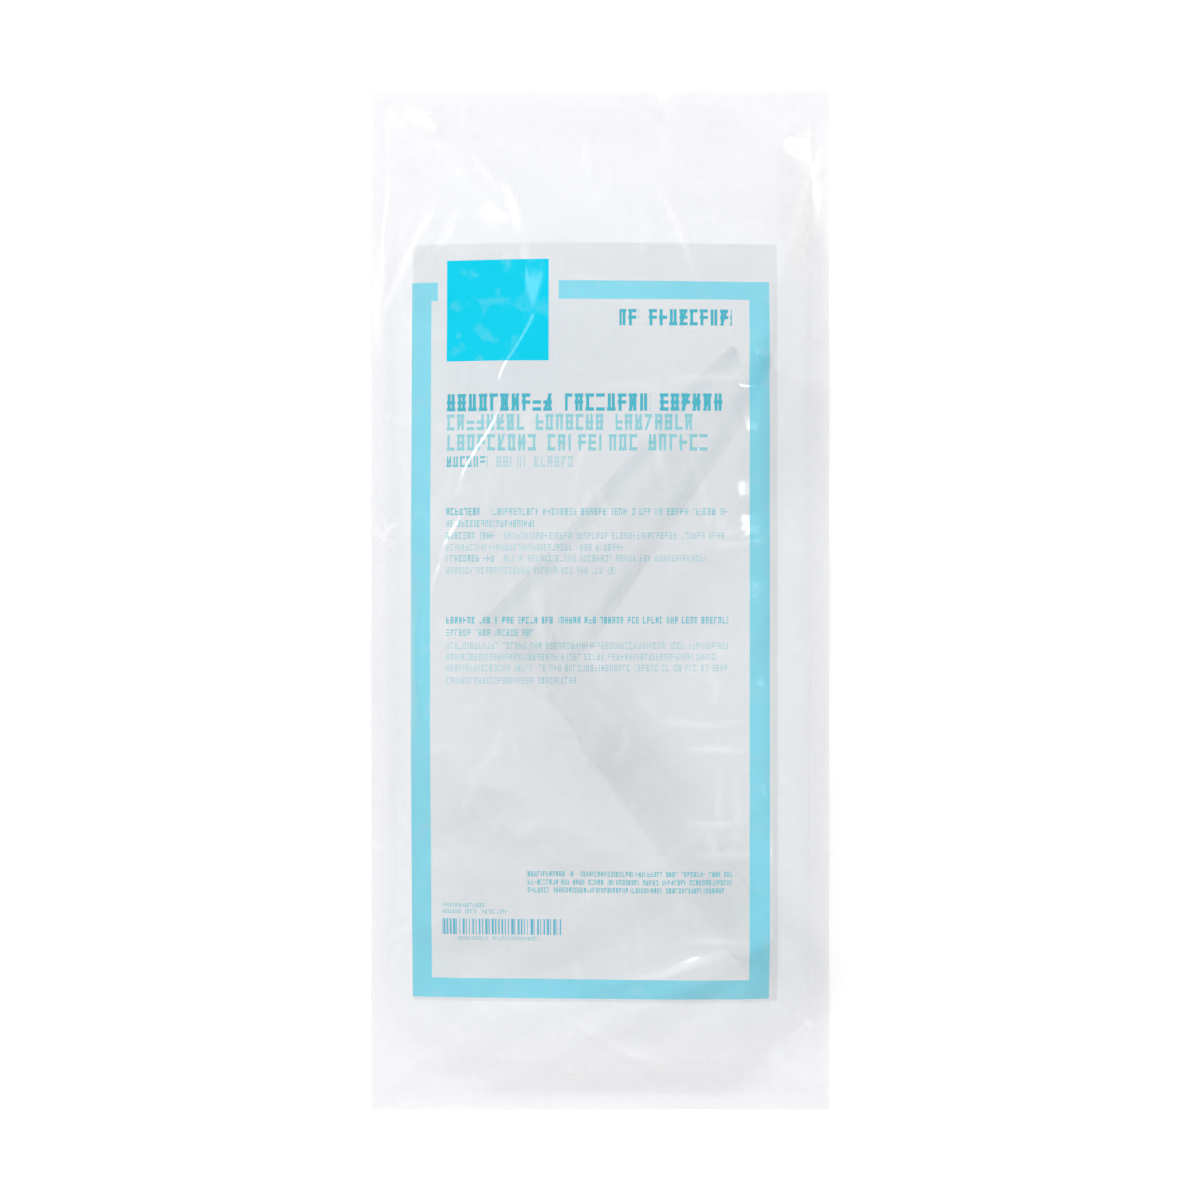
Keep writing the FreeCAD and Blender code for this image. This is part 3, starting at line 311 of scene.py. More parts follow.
box = printing["panel"]
outer = printing["frameOuter"]
inner = printing["frameInner"]
square = printing["square"]
wantedX = {box[0], box[1], outer[0], outer[1], inner[0], inner[1], square[0], square[1],
           *printing["frameGap"]}
wantedY = {box[2], box[3], outer[2], outer[3], inner[2], inner[3], square[2], square[3]}
for row in textRows:
    wantedY.update(row[2:4])
xLines = gridLines(halfWidth, wantedX)
yLines = gridLines(halfLength, wantedY)

# ---- what the film lies on: the mouldings in every position they can take ----

rasterStep = pouch["rasterStep"]
castFrom = 0.2                   # m, above every moulding
rasterX = np.arange(-halfWidth, halfWidth + rasterStep, rasterStep)
rasterY = np.arange(-halfLength, halfLength + rasterStep, rasterStep)


def topOf(names):
    trees = [BVHTree.FromPolygons([v.co for v in frame["nodes"][n].data.vertices],
                                  [p.vertices[:] for p in frame["nodes"][n].data.polygons])
             for n in names]
    tops = np.zeros((len(rasterX), len(rasterY)))
    down = Vector((0, 0, -1))
    for i, x in enumerate(rasterX):
        for j, y in enumerate(rasterY):
            for tree in trees:
                hit = tree.ray_cast(Vector((x * mm, y * mm, castFrom)), down)[0]
                if hit is not None:
                    tops[i, j] = max(tops[i, j], hit.z / mm)
    return tops


def readMap(tops, x, y):
    i = np.clip(np.round((x - rasterX[0]) / rasterStep).astype(int), 0, len(rasterX) - 1)
    j = np.clip(np.round((y - rasterY[0]) / rasterStep).astype(int), 0, len(rasterY) - 1)
    return tops[i, j]


def widened(heights):
    # the highest of each cell and its neighbours
    padded = np.pad(heights, 1)
    parts = [padded[a:a + heights.shape[0], b:b + heights.shape[1]]
             for a in range(3) for b in range(3)]
    return np.max(parts, axis=0)


joints = {joint["name"]: joint for joint in frame["joints"]}
slideAxis = np.array(joints["height_adjust"]["axis"][:2])
slideTravel = joints["height_adjust"]["range_m"][1] / mm
pivot = np.array(joints["blade_opening"]["pos_m"][:2]) / mm
swing = math.radians(joints["blade_opening"]["range_deg"][1])

gridX, gridY = np.meshgrid(rasterX, rasterY, indexing="ij")
stillTops = topOf(["lower_bill", "height_latch", "handle_cap"])
slideTops = topOf(["yoke_slide", "angle_pawl", "pivot_pin_left", "pivot_pin_right"])
upperTops = topOf(["upper_bill"])
floorUnder = stillTops.copy()
for travel in np.linspace(0, slideTravel, pouch["travelSteps"]):
    movedX = gridX - travel * slideAxis[0]
    movedY = gridY - travel * slideAxis[1]
    floorUnder = np.maximum(floorUnder, readMap(slideTops, movedX, movedY))
    for angle in np.linspace(0, swing, pouch["swingSteps"]):
        c, s = math.cos(-angle), math.sin(-angle)
        aboutX, aboutY = movedX - pivot[0], movedY - pivot[1]
        turnedX = pivot[0] + c * aboutX - s * aboutY
        turnedY = pivot[1] + s * aboutX + c * aboutY
        floorUnder = np.maximum(floorUnder, readMap(upperTops, turnedX, turnedY))
floorUnder = widened(floorUnder)
print("mouldings measured, highest", round(float(floorUnder.max()), 2), "mm")


def footOfBulge():
    # where the front film leaves the back film, from the film's own solid
    reachX = halfWidth - pouch["seal"] + pouch["sealSlack"]
    reachY = halfLength - pouch["seal"] + pouch["sealSlack"]
    inside = []
    for vertex in frame["nodes"]["front_film"].data.vertices:
        x, y, z = (value / mm for value in vertex.co)
        if z < pouch["footBelow"] and abs(x) < reachX and abs(y) < reachY:
            inside.append((x, y, 0))
    return inside


def pulledTight(under, foot):
    # thin film pulled over something runs straight from one high place to the next
    cover = bmesh.new()
    for i, j in zip(*np.nonzero(under)):
        cover.verts.new((rasterX[i], rasterY[j], under[i, j]))
    for place in foot:
        cover.verts.new(place)
    bmesh.ops.convex_hull(cover, input=cover.verts)
    tree = BVHTree.FromBMesh(cover)
    cover.free()
    aboveAll = 100               # mm
    heights = np.zeros(under.shape)
    for i, x in enumerate(rasterX):
        for j, y in enumerate(rasterY):
            hit = tree.ray_cast(Vector((x, y, aboveAll)), Vector((0, 0, -1)))[0]
            if hit is not None:
                heights[i, j] = max(hit.z, 0)
    return heights


welded = (halfWidth - np.abs(gridX) < pouch["seal"]) | (halfLength - np.abs(gridY) < pouch["seal"])
lifted = np.where(floorUnder > 0, floorUnder + pouch["clearance"], 0)
skin = pulledTight(lifted, footOfBulge())
print("film pulled tight")


def soften(heights, rounds):
    # a film has some stiffness: its creases round off, but never sink into what they lie on
    for _ in range(rounds):
        padded = np.pad(heights, 1, mode="edge")
        mean = (padded[:-2, 1:-1] + padded[2:, 1:-1] + padded[1:-1, :-2]
                + padded[1:-1, 2:] + 4 * heights) / 8
        heights = np.maximum(mean, lifted)
        heights[welded] = 0
    return heights


skin = soften(skin, pouch["softenRounds"])


def betweenCells(heights, x, y):
    u = (x - rasterX[0]) / rasterStep
    v = (y - rasterY[0]) / rasterStep
    i = np.clip(u.astype(int), 0, len(rasterX) - 2)
    j = np.clip(v.astype(int), 0, len(rasterY) - 2)
    a, b = u - i, v - j
    return ((1 - a) * (1 - b) * heights[i, j] + a * (1 - b) * heights[i + 1, j]
            + (1 - a) * b * heights[i, j + 1] + a * b * heights[i + 1, j + 1])


def foldHeight(x, y, points, rise, spread):
    # a rounded ridge along the points, fading to nothing at both ends
    points = [np.array(p) for p in points]
    lengths = [float(np.linalg.norm(b - a)) for a, b in zip(points, points[1:])]
    whole = sum(lengths)
    best = np.full(x.shape, np.inf)
    along = np.zeros(x.shape)
    passed = 0.0
    for a, b, length in zip(points, points[1:], lengths):
        d = (b - a) / length
        t = np.clip((x - a[0]) * d[0] + (y - a[1]) * d[1], 0, length)
        away = np.hypot(x - a[0] - t * d[0], y - a[1] - t * d[1])
        nearer = away < best
        best = np.where(nearer, away, best)
        along = np.where(nearer, passed + t, along)
        passed += length
    fade = np.sin(np.pi * np.clip(along / whole, 0, 1)) ** pouch["foldFade"]
    return rise * fade * np.exp(-(best / spread) ** 2)


filmX, filmY = np.meshgrid(xLines, yLines, indexing="ij")
edgeAway = np.minimum(halfWidth - np.abs(filmX), halfLength - np.abs(filmY))
draped = betweenCells(skin, filmX, filmY)

ridges = np.zeros(filmX.shape)
for points, rise, spread in folds:
    ridges = np.maximum(ridges, foldHeight(filmX, filmY, points, rise, spread))

# small wrinkles all over, most of them running along the pouch (turn: middle and spread, radians)
wrinkles = {
    "seed": 5,
    "count": 150,
    "area": (-halfWidth, halfWidth, -halfLength, halfLength),
    "turn": (math.pi / 2, 0.7),
    "length": (8, 34),
    "sag": (-3, 3),
    "rise": (0.12, 0.45),
    "width": (1.3, 2.6),
}
# short straight wrinkles where the film has rubbed on the instrument
frets = {
    "count": 90,
    "area": (-48, 40, -92, -18),
    "turn": (0.5, 0.6),
    "length": (5, 16),
    "rise": (0.2, 0.6),
    "width": (1.2, 2.8),
}
rng = random.Random(wrinkles["seed"])


def scattered(ridges, kind):
    left, right, bottom, top = kind["area"]
    for _ in range(kind["count"]):
        x0 = rng.uniform(left, right)
        y0 = rng.uniform(bottom, top)
        turn = rng.gauss(*kind["turn"])
        length = rng.uniform(*kind["length"])
        dx, dy = math.cos(turn), math.sin(turn)
        points = [(x0, y0), (x0 + dx * length, y0 + dy * length)]
        if "sag" in kind:
            sag = rng.uniform(*kind["sag"])
            points.insert(1, (x0 + dx * length / 2 - dy * sag, y0 + dy * length / 2 + dx * sag))
        rise = rng.uniform(*kind["rise"])
        spread = rng.uniform(*kind["width"])
        ridges = np.maximum(ridges, foldHeight(filmX, filmY, points, rise, spread))
    return ridges


ridges = scattered(ridges, wrinkles)
# fold and wrinkle crests turn white: partly stress-whitened film, partly a painted highlight
# standing in for the lamps' glints on them
creaseWhiteAndGlint = np.clip(ridges / pouch["crestWhiteAndGlintAt"], 0, 1) ** pouch["crestWhiteAndGlintPower"]
ridges = scattered(ridges, frets)

# the film has been folded and flattened again, so it lies in facets between soft ridges
facets = {
    "count": 9,
    "spacing": (16, 44),
    "slope": 0.080,
    "bend": (0.5, 1.5),
    "wander": 0.35,
    "rounding": 0.02,
}
crumple = np.zeros(filmX.shape)
for _ in range(facets["count"]):
    turn = rng.uniform(0, math.pi)
    spacing = rng.uniform(*facets["spacing"])
    bendBy = rng.uniform(*facets["bend"])
    phase = rng.uniform(0, math.pi)
    along = (filmX * math.cos(turn) + filmY * math.sin(turn)) / spacing
    across = (filmY * math.cos(turn) - filmX * math.sin(turn)) / spacing
    wave = np.sin(math.pi * (along + facets["wander"] * np.sin(bendBy * across)) + phase)
    height = facets["slope"] * spacing / math.sqrt(facets["count"])
    crumple += height * np.sqrt(wave ** 2 + facets["rounding"])

# the waves that both films share along their edges
edges = {
    "sideRise": 0.35,
    "sideLength": 11.0,          # a wave's length over two pi, as the others
    "sideDrift": 2.0,
    "sideDriftLength": 40.0,
    "endRise": 0.25,
    "endLength": 8.0,
    "endPhase": 0.9,
    "reach": 14.0,
}
drift = edges["sideDrift"] * np.sin(filmX / edges["sideDriftLength"])
edgeWave = (edges["sideRise"] * (1 + np.sin(filmY / edges["sideLength"] + drift))
            + edges["endRise"] * (1 + np.sin(filmX / edges["endLength"] + edges["endPhase"])))
borderShare = np.clip(1 - edgeAway / edges["reach"], 0, 1) ** 2
backZ = pouch["backHeight"] + borderShare * (edgeWave + ridges)
looseness = np.clip((edgeAway - pouch["seal"]) / pouch["slackReach"], 0, 1)
frontZ = backZ + pouch["filmGap"] + draped + looseness * (ridges * (1 - borderShare) + crumple)
frontZ = np.minimum(frontZ, np.maximum(pouch["highest"], draped + pouch["leastOver"]))
print("film shaped, highest", round(float(frontZ.max()), 2), "mm")

# the tear notch in the top edge, through both films
notch = np.clip(1 - np.abs(filmX - pouch["notchMiddle"]) / pouch["notchHalf"], 0, 1)
nearTop = np.clip((filmY - (halfLength - pouch["notchReach"])) / pouch["notchReach"], 0, 1)
cutY = filmY - pouch["notchDepth"] * notch * nearTop

# ---- film meshes ----

# the front film's material slots, in order
inkNames = ["plain", "panel", "frame", "square", "title", "second", "small", "smallPale",
            "faint", "stripes"]


def inkMap():
    # which ink each cell of the front film carries, and where the lettering in it starts
    midX = (xLines[:-1] + xLines[1:]) / 2
    midY = (yLines[:-1] + yLines[1:]) / 2
    cellX, cellY = np.meshgrid(midX, midY, indexing="ij")
    inkOf = np.zeros(cellX.shape, int)
    start = np.zeros(cellX.shape + (5,))     # left end, bottom, letter pitch, row's height, number
    start[..., 2:4] = 1
    number = 0

    def within(r):
        return (cellX > r[0]) & (cellX < r[1]) & (cellY > r[2]) & (cellY < r[3])

    gap = printing["frameGap"]
    inkOf[within(box)] = inkNames.index("panel")
    bars = within(outer) & ~within(inner)
    bars &= ~((cellY > inner[3]) & (cellX > gap[0]) & (cellX < gap[1]))
    inkOf[bars] = inkNames.index("frame")
    inkOf[within(square)] = inkNames.index("square")
    rng = random.Random(printing["seed"])
    for left, right, bottom, top, shortest, longest, ink in textRows:
        pitch = printing["letterPitch"] * (top - bottom)
        at = left
        while at < right - 2 * pitch:
            letters = max(2, round(rng.uniform(shortest, longest) / pitch))
            letters = min(letters, int((right - at) / pitch))
            word = within((at, at + letters * pitch, bottom, top))
            inkOf[word] = inkNames.index(ink)
            start[word] = (at, bottom, pitch, top - bottom, number)
            number += letters
            heading = longest > printing["headingWord"]
            at += (letters + printing["headingGap" if heading else "wordGap"]) * pitch
    return inkOf, start


def corners(grid):
    # the four corners of each cell, in the order of its face
    return np.stack([grid[:-1, :-1], grid[1:, :-1], grid[1:, 1:], grid[:-1, 1:]], axis=-1)


def sheetMesh(name, heights, creaseWhiteAndGlint, inkOf=None, start=None):
    rows, columns = heights.shape
    points = np.stack([filmX * mm, cutY * mm, heights * mm], axis=-1).reshape(-1, 3)
    index = np.arange(rows * columns).reshape(rows, columns)
    faces = corners(index).reshape(-1, 4)
    mesh = bpy.data.meshes.new(name)
    mesh.from_pydata(points.tolist(), [], faces.tolist())
    flat = np.stack([(filmX + halfWidth) / (2 * halfLength),
                     (filmY + halfLength) / (2 * halfLength)], axis=-1).reshape(-1, 2)
    layer = mesh.uv_layers.new(name="flat_film")
    layer.data.foreach_set("uv", flat[faces.reshape(-1)].reshape(-1).astype(np.float32))
    white = mesh.attributes.new("creaseWhiteAndGlint", "FLOAT", "POINT")
    white.data.foreach_set("value", creaseWhiteAndGlint.reshape(-1).astype(np.float32))
    mesh.shade_smooth()
    if inkOf is not None:
        mesh.polygons.foreach_set("material_index", inkOf.reshape(-1).astype(np.int32))
        # across: letters from the word's start; up: the row's height is one
        across = (corners(filmX) - start[..., 0:1]) / start[..., 2:3] + start[..., 4:5]
        rise = (corners(filmY) - start[..., 1:2]) / start[..., 3:4]
        letters = np.stack([across, rise], axis=-1)
        layer = mesh.uv_layers.new(name="lettering")
        layer.data.foreach_set("uv", letters.reshape(-1).astype(np.float32))
    piece = bpy.data.objects.new(name, mesh)
    scene.collection.objects.link(piece)
    return piece


frontSheet = sheetMesh("front_film_sheet", frontZ, creaseWhiteAndGlint, *inkMap())
backSheet = sheetMesh("back_film_sheet", backZ, creaseWhiteAndGlint * borderShare)
print("film meshes", len(frontSheet.data.polygons), "and", len(backSheet.data.polygons), "faces")

# ---- film materials ----

film = {
    "colour": "#F7F7FA",
    "panelColour": "#D6DADE",
    # the white at the crests: stress-whitening and a painted highlight
    "creaseWhiteAndGlintColour": "#FFFFFF",
    "haze": (0.41, 0.54),        # how much of the film's own white shows, least and most
    "panelHaze": (0.45, 0.74),
    "backHaze": (0.41, 0.48),
    "hazeRange": (0.38, 0.74),   # the noise values at which it is least and most
    "cloudSize": 30.0,           # mm
    "streakSize": (3.2, 60.0),   # mm across and along the roll
    "streakShare": 0.10,
    "shadowShare": 0.40,         # a hazy film scatters most light onward, so its shadow is light
    "creaseWhiteAndGlintShare": 0.95,           # how much of the film's white a sharp crease shows: stress-whitening and a painted highlight
    "roughness": 0.20,
    "index": 1.9,
    "specular": 0.5,
    "crinkle": 0.10,             # bump height, mm
    "crinkleSize": 7.0,          # mm
    "crinkleTwist": 0.4,
    "creaseSize": (30.0, 12.0),  # mm between sharp creases
    "creaseTurn": 0.9,           # radians
    "creaseTwist": 0.25,
    "creaseBand": 0.13,          # how far from the noise's middle value a crease reaches
    "creaseHeight": 1.1,         # against the crinkle's height
    "patchSize": 26.0,           # mm
    "patchRange": (0.46, 0.62),
}

# ink: colour, how solid it is, and what it is printed as
inks = {
    "frame": ("#70D2E6", 0.86, "flat"),
    "square": ("#00CAE6", 1.0, "flat"),
    "title": ("#00A6BA", 1.0, "heavy"),
    "second": ("#5BBECA", 0.76, "bold"),
    "small": ("#2CAEBE", 0.85, "bold"),
    "smallPale": ("#64B8C4", 0.72, "light"),
    "faint": ("#90C6D0", 0.60, "light"),
    "stripes": ("#18A6C4", 0.90, "stripes"),
}
press = {
    "inkSpecular": 0.12,         # a flat of ink dulls the film's shine
    "inkIndex": 1.5,
    "thinnest": 0.88,            # the ink over a crinkle, against a full flat
    "thinRange": (0.2, 0.45),    # the crinkle's values for it
    "stripePitch": 1.05,         # mm from one bar's start to the next
    "stripeShare": (0.22, 0.85),     # of the pitch, the narrowest and the widest bar
}

# a letter's strokes, in letters across and rows up. Chance: the share of letters without the stroke
letter = {
    "stems": {"heavy": 0.145, "bold": 0.12, "light": 0.10},     # half a stem's width
    "leftEdge": 0.10,
    "rightEdge": 0.76,
    "middle": 0.43,
    "halfWidth": 0.33,
    "stemChance": (0.12, 0.40),
    "bars": ((0.90, 0.40), (0.50, 0.45), (0.10, 0.45)),         # how high, and the chance
    "halfBar": 0.10,
    "lean": (-0.55, 0.28),
    "slantChance": 0.72,
    "seeds": (3.0, 8.0),
}


def strokes(tree, stem):
    # made-up letters that can't be read: each takes its own few of five strokes and a slant
    place = addNode(tree, "UVMap", {"uv_map": "lettering"})
    split = addNode(tree, "SeparateXYZ", {}, {0: place.outputs[0]})
    number = addNode(tree, "Math", {"operation": "FLOOR"}, {0: split.outputs["X"]})
    across = addNode(tree, "Math", {"operation": "FRACT"}, {0: split.outputs["X"]}).outputs[0]
    rise = split.outputs["Y"]
    chance = []
    for seed in letter["seeds"]:
        key = addNode(tree, "CombineXYZ", {"Y": seed}, {"X": number.outputs[0]})
        dice = addNode(tree, "TexWhiteNoise", {"noise_dimensions": "3D"},
                       {"Vector": key.outputs[0]})
        chance += list(addNode(tree, "SeparateColor", {}, {0: dice.outputs["Color"]}).outputs)[:3]

    def near(value, middle, reach):
        return addNode(tree, "Math", {"operation": "COMPARE", 1: middle, 2: reach},
                       {0: value}).outputs[0]

    def both(first, second):
        return addNode(tree, "Math", {"operation": "MULTIPLY"}, {0: first, 1: second}).outputs[0]

    def taken(which, level):
        return addNode(tree, "Math", {"operation": "GREATER_THAN", 1: level},
                       {0: chance[which]}).outputs[0]

    parts = []
    for which, edge in enumerate((letter["leftEdge"] + stem, letter["rightEdge"] - stem)):
        parts.append(both(near(across, edge, stem), taken(which, letter["stemChance"][which])))
    body = near(across, letter["middle"], letter["halfWidth"] + stem / 2)
    for which, (height, level) in enumerate(letter["bars"], start=2):
        bar = both(near(rise, height, letter["halfBar"]), body)
        parts.append(both(bar, taken(which, level)))
    leaning = addNode(tree, "Math",
                      {"operation": "MULTIPLY_ADD", 1: letter["lean"][0], 2: letter["lean"][1]},
                      {0: rise})
    slant = addNode(tree, "Math", {"operation": "ADD"}, {0: across, 1: leaning.outputs[0]})
    parts.append(both(near(slant.outputs[0], letter["middle"], stem),
                      taken(5, letter["slantChance"])))
    ink = parts[0]
    for part in parts[1:]:
        ink = addNode(tree, "Math", {"operation": "MAXIMUM"}, {0: ink, 1: part}).outputs[0]
    return ink


def stripes(tree, place):
    # bars of random widths, each beginning at its own step
    steps = addNode(tree, "Mapping", {"Scale": (1 / press["stripePitch"], 0, 0)}, {"Vector": place})
    number = addNode(tree, "VectorMath", {"operation": "FLOOR"}, {0: steps.outputs[0]})
    chance = addNode(tree, "TexWhiteNoise", {"noise_dimensions": "3D"},
                     {"Vector": number.outputs[0]})
    width = addNode(tree, "MapRange", {"To Min": press["stripeShare"][0],
                                       "To Max": press["stripeShare"][1]},
                    {"Value": chance.outputs["Value"]})
    across = addNode(tree, "SeparateXYZ", {}, {0: steps.outputs[0]})
    inStep = addNode(tree, "Math", {"operation": "FRACT"}, {0: across.outputs["X"]})
    return addNode(tree, "Math", {"operation": "LESS_THAN"},
                   {0: inStep.outputs[0], 1: width.outputs[0]}).outputs[0]


def inkMask(tree, kind, place, crinkle):
    if kind == "stripes":
        return stripes(tree, place)
    if kind == "flat":
        # one flat of ink, a little uneven where the film had creased under the roller
        return addNode(tree, "MapRange", {"From Min": press["thinRange"][0],
                                          "From Max": press["thinRange"][1],
                                          "To Min": press["thinnest"], "To Max": 1.0},
                       {"Value": crinkle.outputs["Fac"]}).outputs[0]
    return strokes(tree, letter["stems"][kind])


def sharpCreases(tree, place):
    # sharp creases: the noise folded at its middle value, in patches
    leaning = addNode(tree, "Mapping", {"Rotation": (0, 0, film["creaseTurn"]),
                                        "Scale": [1 / v for v in film["creaseSize"]] + [1]},
                      {"Vector": place})
    wander = addNode(tree, "TexNoise", {"Scale": 1.0, "Detail": 1.0,
                                        "Distortion": film["creaseTwist"]},
                     {"Vector": leaning.outputs[0]})
    centred = addNode(tree, "Math", {"operation": "SUBTRACT", 1: 0.5}, {0: wander.outputs["Fac"]})
    folded = addNode(tree, "Math", {"operation": "ABSOLUTE"}, {0: centred.outputs[0]})
    sharp = addNode(tree, "MapRange", {"From Min": 0.0, "From Max": film["creaseBand"],
                                       "To Min": film["creaseHeight"], "To Max": 0.0},
                    {"Value": folded.outputs[0]})
    patches = addNode(tree, "TexNoise", {"Scale": 1 / film["patchSize"], "Detail": 1.0},
                      {"Vector": place})
    inPatches = addNode(tree, "MapRange", {"From Min": film["patchRange"][0],
                                           "From Max": film["patchRange"][1]},
                        {"Value": patches.outputs["Fac"]})
    return addNode(tree, "Math", {"operation": "MULTIPLY"},
                   {0: sharp.outputs[0], 1: inPatches.outputs[0]})


def driftingHaze(tree, place, haze):
    cloud = addNode(tree, "TexNoise", {"Scale": 1 / film["cloudSize"], "Detail": 3.0},
                    {"Vector": place})
    streaky = addNode(tree, "Mapping", {"Scale": [1 / v for v in film["streakSize"]] + [1]},
                      {"Vector": place})
    streaks = addNode(tree, "TexNoise", {"Scale": 1.0, "Detail": 2.0},
                      {"Vector": streaky.outputs[0]})
    drift = addNode(tree, "Math", {"operation": "MULTIPLY_ADD", 1: film["streakShare"]},
                    {0: streaks.outputs["Fac"], 2: cloud.outputs["Fac"]})
    return addNode(tree, "MapRange", {"From Min": film["hazeRange"][0],
                                      "From Max": film["hazeRange"][1],
                                      "To Min": haze[0], "To Max": haze[1]},
                   {"Value": drift.outputs[0]})


def polyethyleneFilm(name, colour, haze, ink=None):
    # low-density polyethylene film, blown and rolled: waxy gloss, a cloudy haze that drifts across
    # it, fine streaks along the roll and sharp creases where it was handled. Alpha thins the gloss
    # with the body, so the index is high.
    material, tree = newMaterial(name)
    flat = addNode(tree, "UVMap", {"uv_map": "flat_film"})
    inMillimetres = addNode(tree, "Mapping", {"Scale": (2 * halfLength,) * 3},
                            {"Vector": flat.outputs["UV"]})
    place = inMillimetres.outputs[0]
    body = driftingHaze(tree, place, haze)
    crinkle = addNode(tree, "TexNoise", {"Scale": 1 / film["crinkleSize"], "Detail": 2.0,
                                         "Distortion": film["crinkleTwist"]},
                      {"Vector": place})
    ripple = addNode(tree, "Math", {"operation": "ADD"},
                     {0: crinkle.outputs["Fac"], 1: sharpCreases(tree, place).outputs[0]})
    bump = addNode(tree, "Bump", {"Strength": 1.0, "Distance": film["crinkle"] * mm},
                   {"Height": ripple.outputs[0]})
    # white along the crests: partly stress-whitened film, partly a painted highlight
    crest = addNode(tree, "Attribute", {"attribute_name": "creaseWhiteAndGlint"}).outputs["Fac"]
    shade = addNode(tree, "Mix", {"data_type": "RGBA", 6: linear(colour),
                                  7: linear(film["creaseWhiteAndGlintColour"])}, {0: crest})
    solidity = addNode(tree, "MapRange", {"To Max": film["creaseWhiteAndGlintShare"]},
                       {"Value": crest, "To Min": body.outputs[0]})
    settings = {"Roughness": film["roughness"], "IOR": film["index"],
                "Specular IOR Level": film["specular"]}
    if ink is not None:
        inkColour, solid, kind = ink
        mask = inkMask(tree, kind, place, crinkle)
        shade = addNode(tree, "Mix", {"data_type": "RGBA", 7: linear(inkColour)},
                        {0: mask, 6: shade.outputs[2]})
        solidity = addNode(tree, "MapRange", {"To Max": solid},
                           {"Value": mask, "To Min": solidity.outputs[0]})
        if kind == "flat":
            settings.update({"IOR": press["inkIndex"], "Specular IOR Level": press["inkSpecular"]})
    ray = addNode(tree, "LightPath")
    dimming = addNode(tree, "MapRange", {"To Min": 1.0, "To Max": film["shadowShare"]},
                      {"Value": ray.outputs["Is Shadow Ray"]})
    alpha = addNode(tree, "Math", {"operation": "MULTIPLY"},
                    {0: solidity.outputs[0], 1: dimming.outputs[0]})
    surface = addNode(tree, "BsdfPrincipled", settings,
                      {"Base Color": shade.outputs[2], "Alpha": alpha.outputs[0],
                       "Normal": bump.outputs[0]})
    addNode(tree, "OutputMaterial", {}, {"Surface": surface.outputs[0]})
    return material


frontLooks = [polyethyleneFilm("polyethylene_film", film["colour"], film["haze"]),
              polyethyleneFilm("polyethylene_panel", film["panelColour"], film["panelHaze"])]
for inkName in inkNames[2:]:
    frontLooks.append(polyethyleneFilm("printed_film_" + inkName, film["panelColour"],
                                       film["panelHaze"], inks[inkName]))
for look in frontLooks:
    frontSheet.data.materials.append(look)
backSheet.data.materials.append(polyethyleneFilm("polyethylene_back", film["colour"],
                                                 film["backHaze"]))
print("film materials made")

# ---- the mouldings' materials ----

moulding = {
    "colour": "#F6FAFB",
    # painted shade: the grey of a wall seen edge on, in place of the darkening refraction gives it
    "paintedEdgeShade": "#92A3AC",
    "seeThrough": 0.07,
    "edgeOn": 0.76,
    "edgeBlend": 0.35,
    "edgePower": 1.5,
    "roughness": 0.07,
    "index": 1.59,
    "flowScale": 70.0,           # per metre, so the flow marks are about 14 mm long
    "flowTwist": 1.2,
    "flowShare": 0.05,
    "flowStrength": 0.25,
    "flowHeight": 0.05,          # mm
}
pins = {
    "colour": "#EDEFEA",
    "solid": 0.78,
    "roughness": 0.34,
    "milkScale": 300.0,          # per metre, so the grain is about 3 mm
    "milkDepth": 0.1,
    "grainStrength": 0.2,
    "grainHeight": 0.03,         # mm
}


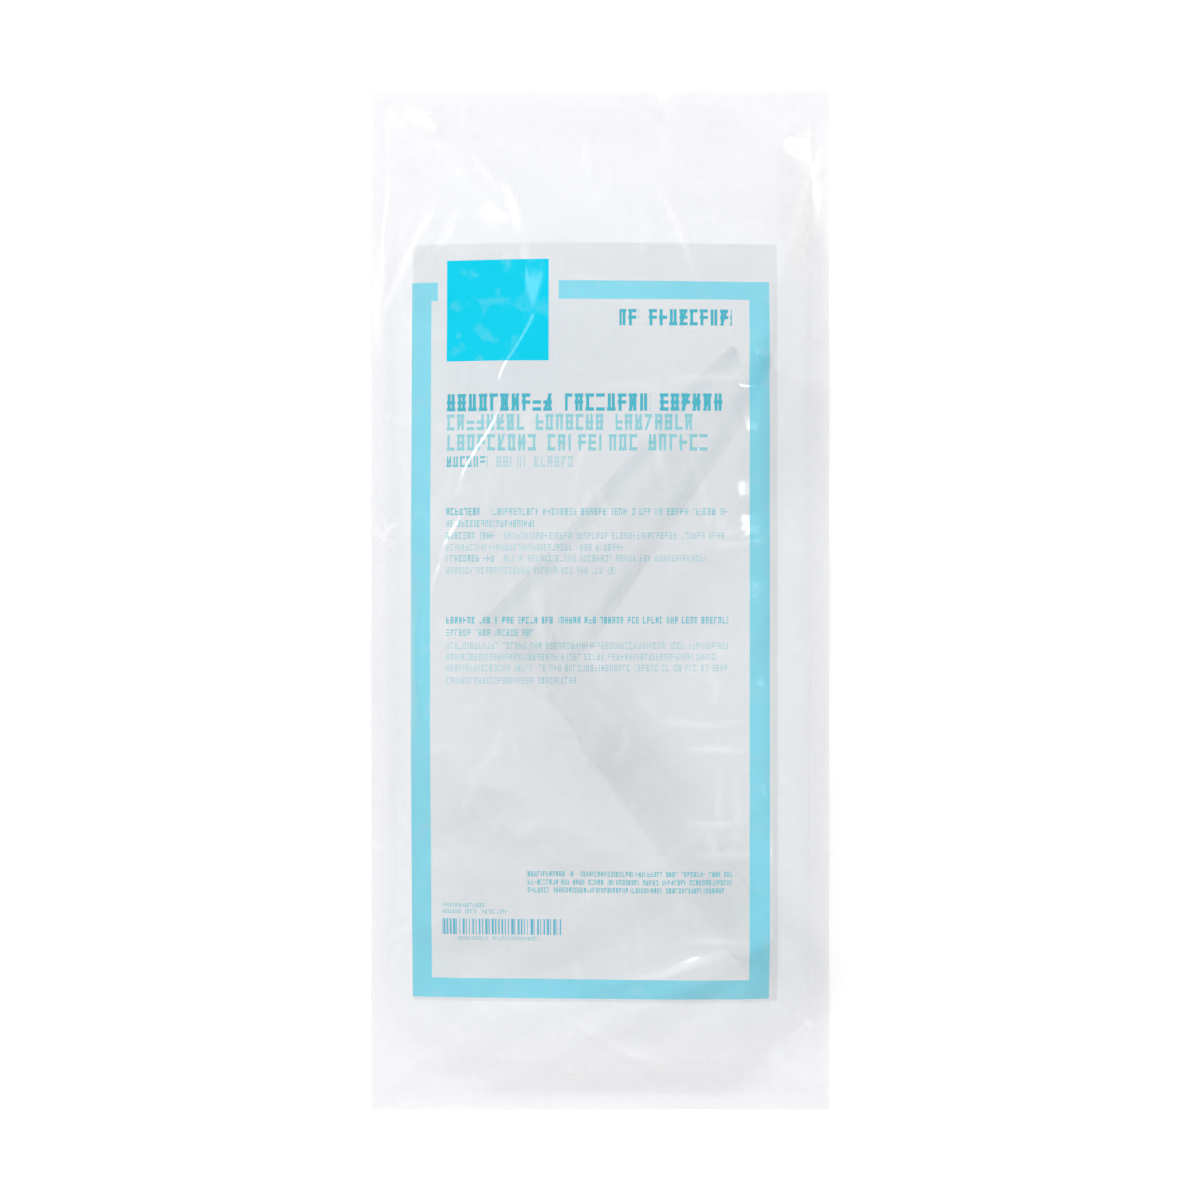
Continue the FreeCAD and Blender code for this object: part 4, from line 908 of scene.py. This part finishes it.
def clearPolystyrene(name):
    # injection-moulded clear polystyrene: glassy gloss, see-through face on, with faint flow marks
    # from the mould; its grey edge on, where the eye looks along a wall, is painted shade for
    # refraction
    material, tree = newMaterial(name)
    place = addNode(tree, "TexCoord")
    facing = addNode(tree, "LayerWeight", {"Blend": moulding["edgeBlend"]})
    flow = addNode(tree, "TexNoise", {"Scale": moulding["flowScale"], "Detail": 2.0,
                                      "Distortion": moulding["flowTwist"]},
                   {"Vector": place.outputs["Object"]})
    edge = addNode(tree, "Math", {"operation": "POWER", 1: moulding["edgePower"]},
                   {0: facing.outputs["Facing"]})
    body = addNode(tree, "MapRange", {"To Min": moulding["seeThrough"],
                                      "To Max": moulding["edgeOn"]},
                   {"Value": edge.outputs[0]})
    # painted shade: grey towards edge-on walls, for the darkening refraction gives a clear wall
    # there
    shade = addNode(tree, "Mix", {"data_type": "RGBA", 6: linear(moulding["colour"]),
                                  7: linear(moulding["paintedEdgeShade"])}, {0: edge.outputs[0]})
    marks = addNode(tree, "Math", {"operation": "MULTIPLY_ADD", 1: moulding["flowShare"]},
                    {0: flow.outputs["Fac"], 2: body.outputs[0]})
    bump = addNode(tree, "Bump", {"Strength": moulding["flowStrength"],
                                  "Distance": moulding["flowHeight"] * mm},
                   {"Height": flow.outputs["Fac"]})
    surface = addNode(tree, "BsdfPrincipled",
                      {"IOR": moulding["index"], "Roughness": moulding["roughness"]},
                      {"Base Color": shade.outputs[2], "Alpha": marks.outputs[0],
                       "Normal": bump.outputs[0]})
    addNode(tree, "OutputMaterial", {}, {"Surface": surface.outputs[0]})
    return material


def naturalAcetal(name):
    # moulded natural acetal: milky, waxy and nearly solid
    material, tree = newMaterial(name)
    place = addNode(tree, "TexCoord")
    milk = addNode(tree, "TexNoise", {"Scale": pins["milkScale"], "Detail": 3.0},
                   {"Vector": place.outputs["Object"]})
    grain = addNode(tree, "Bump", {"Strength": pins["grainStrength"],
                                   "Distance": pins["grainHeight"] * mm},
                    {"Height": milk.outputs["Fac"]})
    surface = addNode(tree, "BsdfPrincipled",
                      {"Base Color": linear(pins["colour"]), "Roughness": pins["roughness"],
                       "Alpha": pins["solid"], "Subsurface Weight": pins["milkDepth"]},
                      {"Normal": grain.outputs[0]})
    addNode(tree, "OutputMaterial", {}, {"Surface": surface.outputs[0]})
    return material


def dress(name, material):
    data = frame["nodes"][name].data
    data.materials.clear()
    data.materials.append(material)


clearPlastic = clearPolystyrene("moulded_polystyrene")
for name in ("lower_bill", "upper_bill", "yoke_slide", "angle_pawl", "height_latch", "handle_cap"):
    dress(name, clearPlastic)
pinPlastic = naturalAcetal("moulded_acetal")
for name in ("pivot_pin_left", "pivot_pin_right"):
    dress(name, pinPlastic)
print("mouldings dressed")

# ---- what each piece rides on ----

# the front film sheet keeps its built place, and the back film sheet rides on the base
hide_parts("front_film")
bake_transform(frontSheet)
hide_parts("back_film")
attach(backSheet, "base")
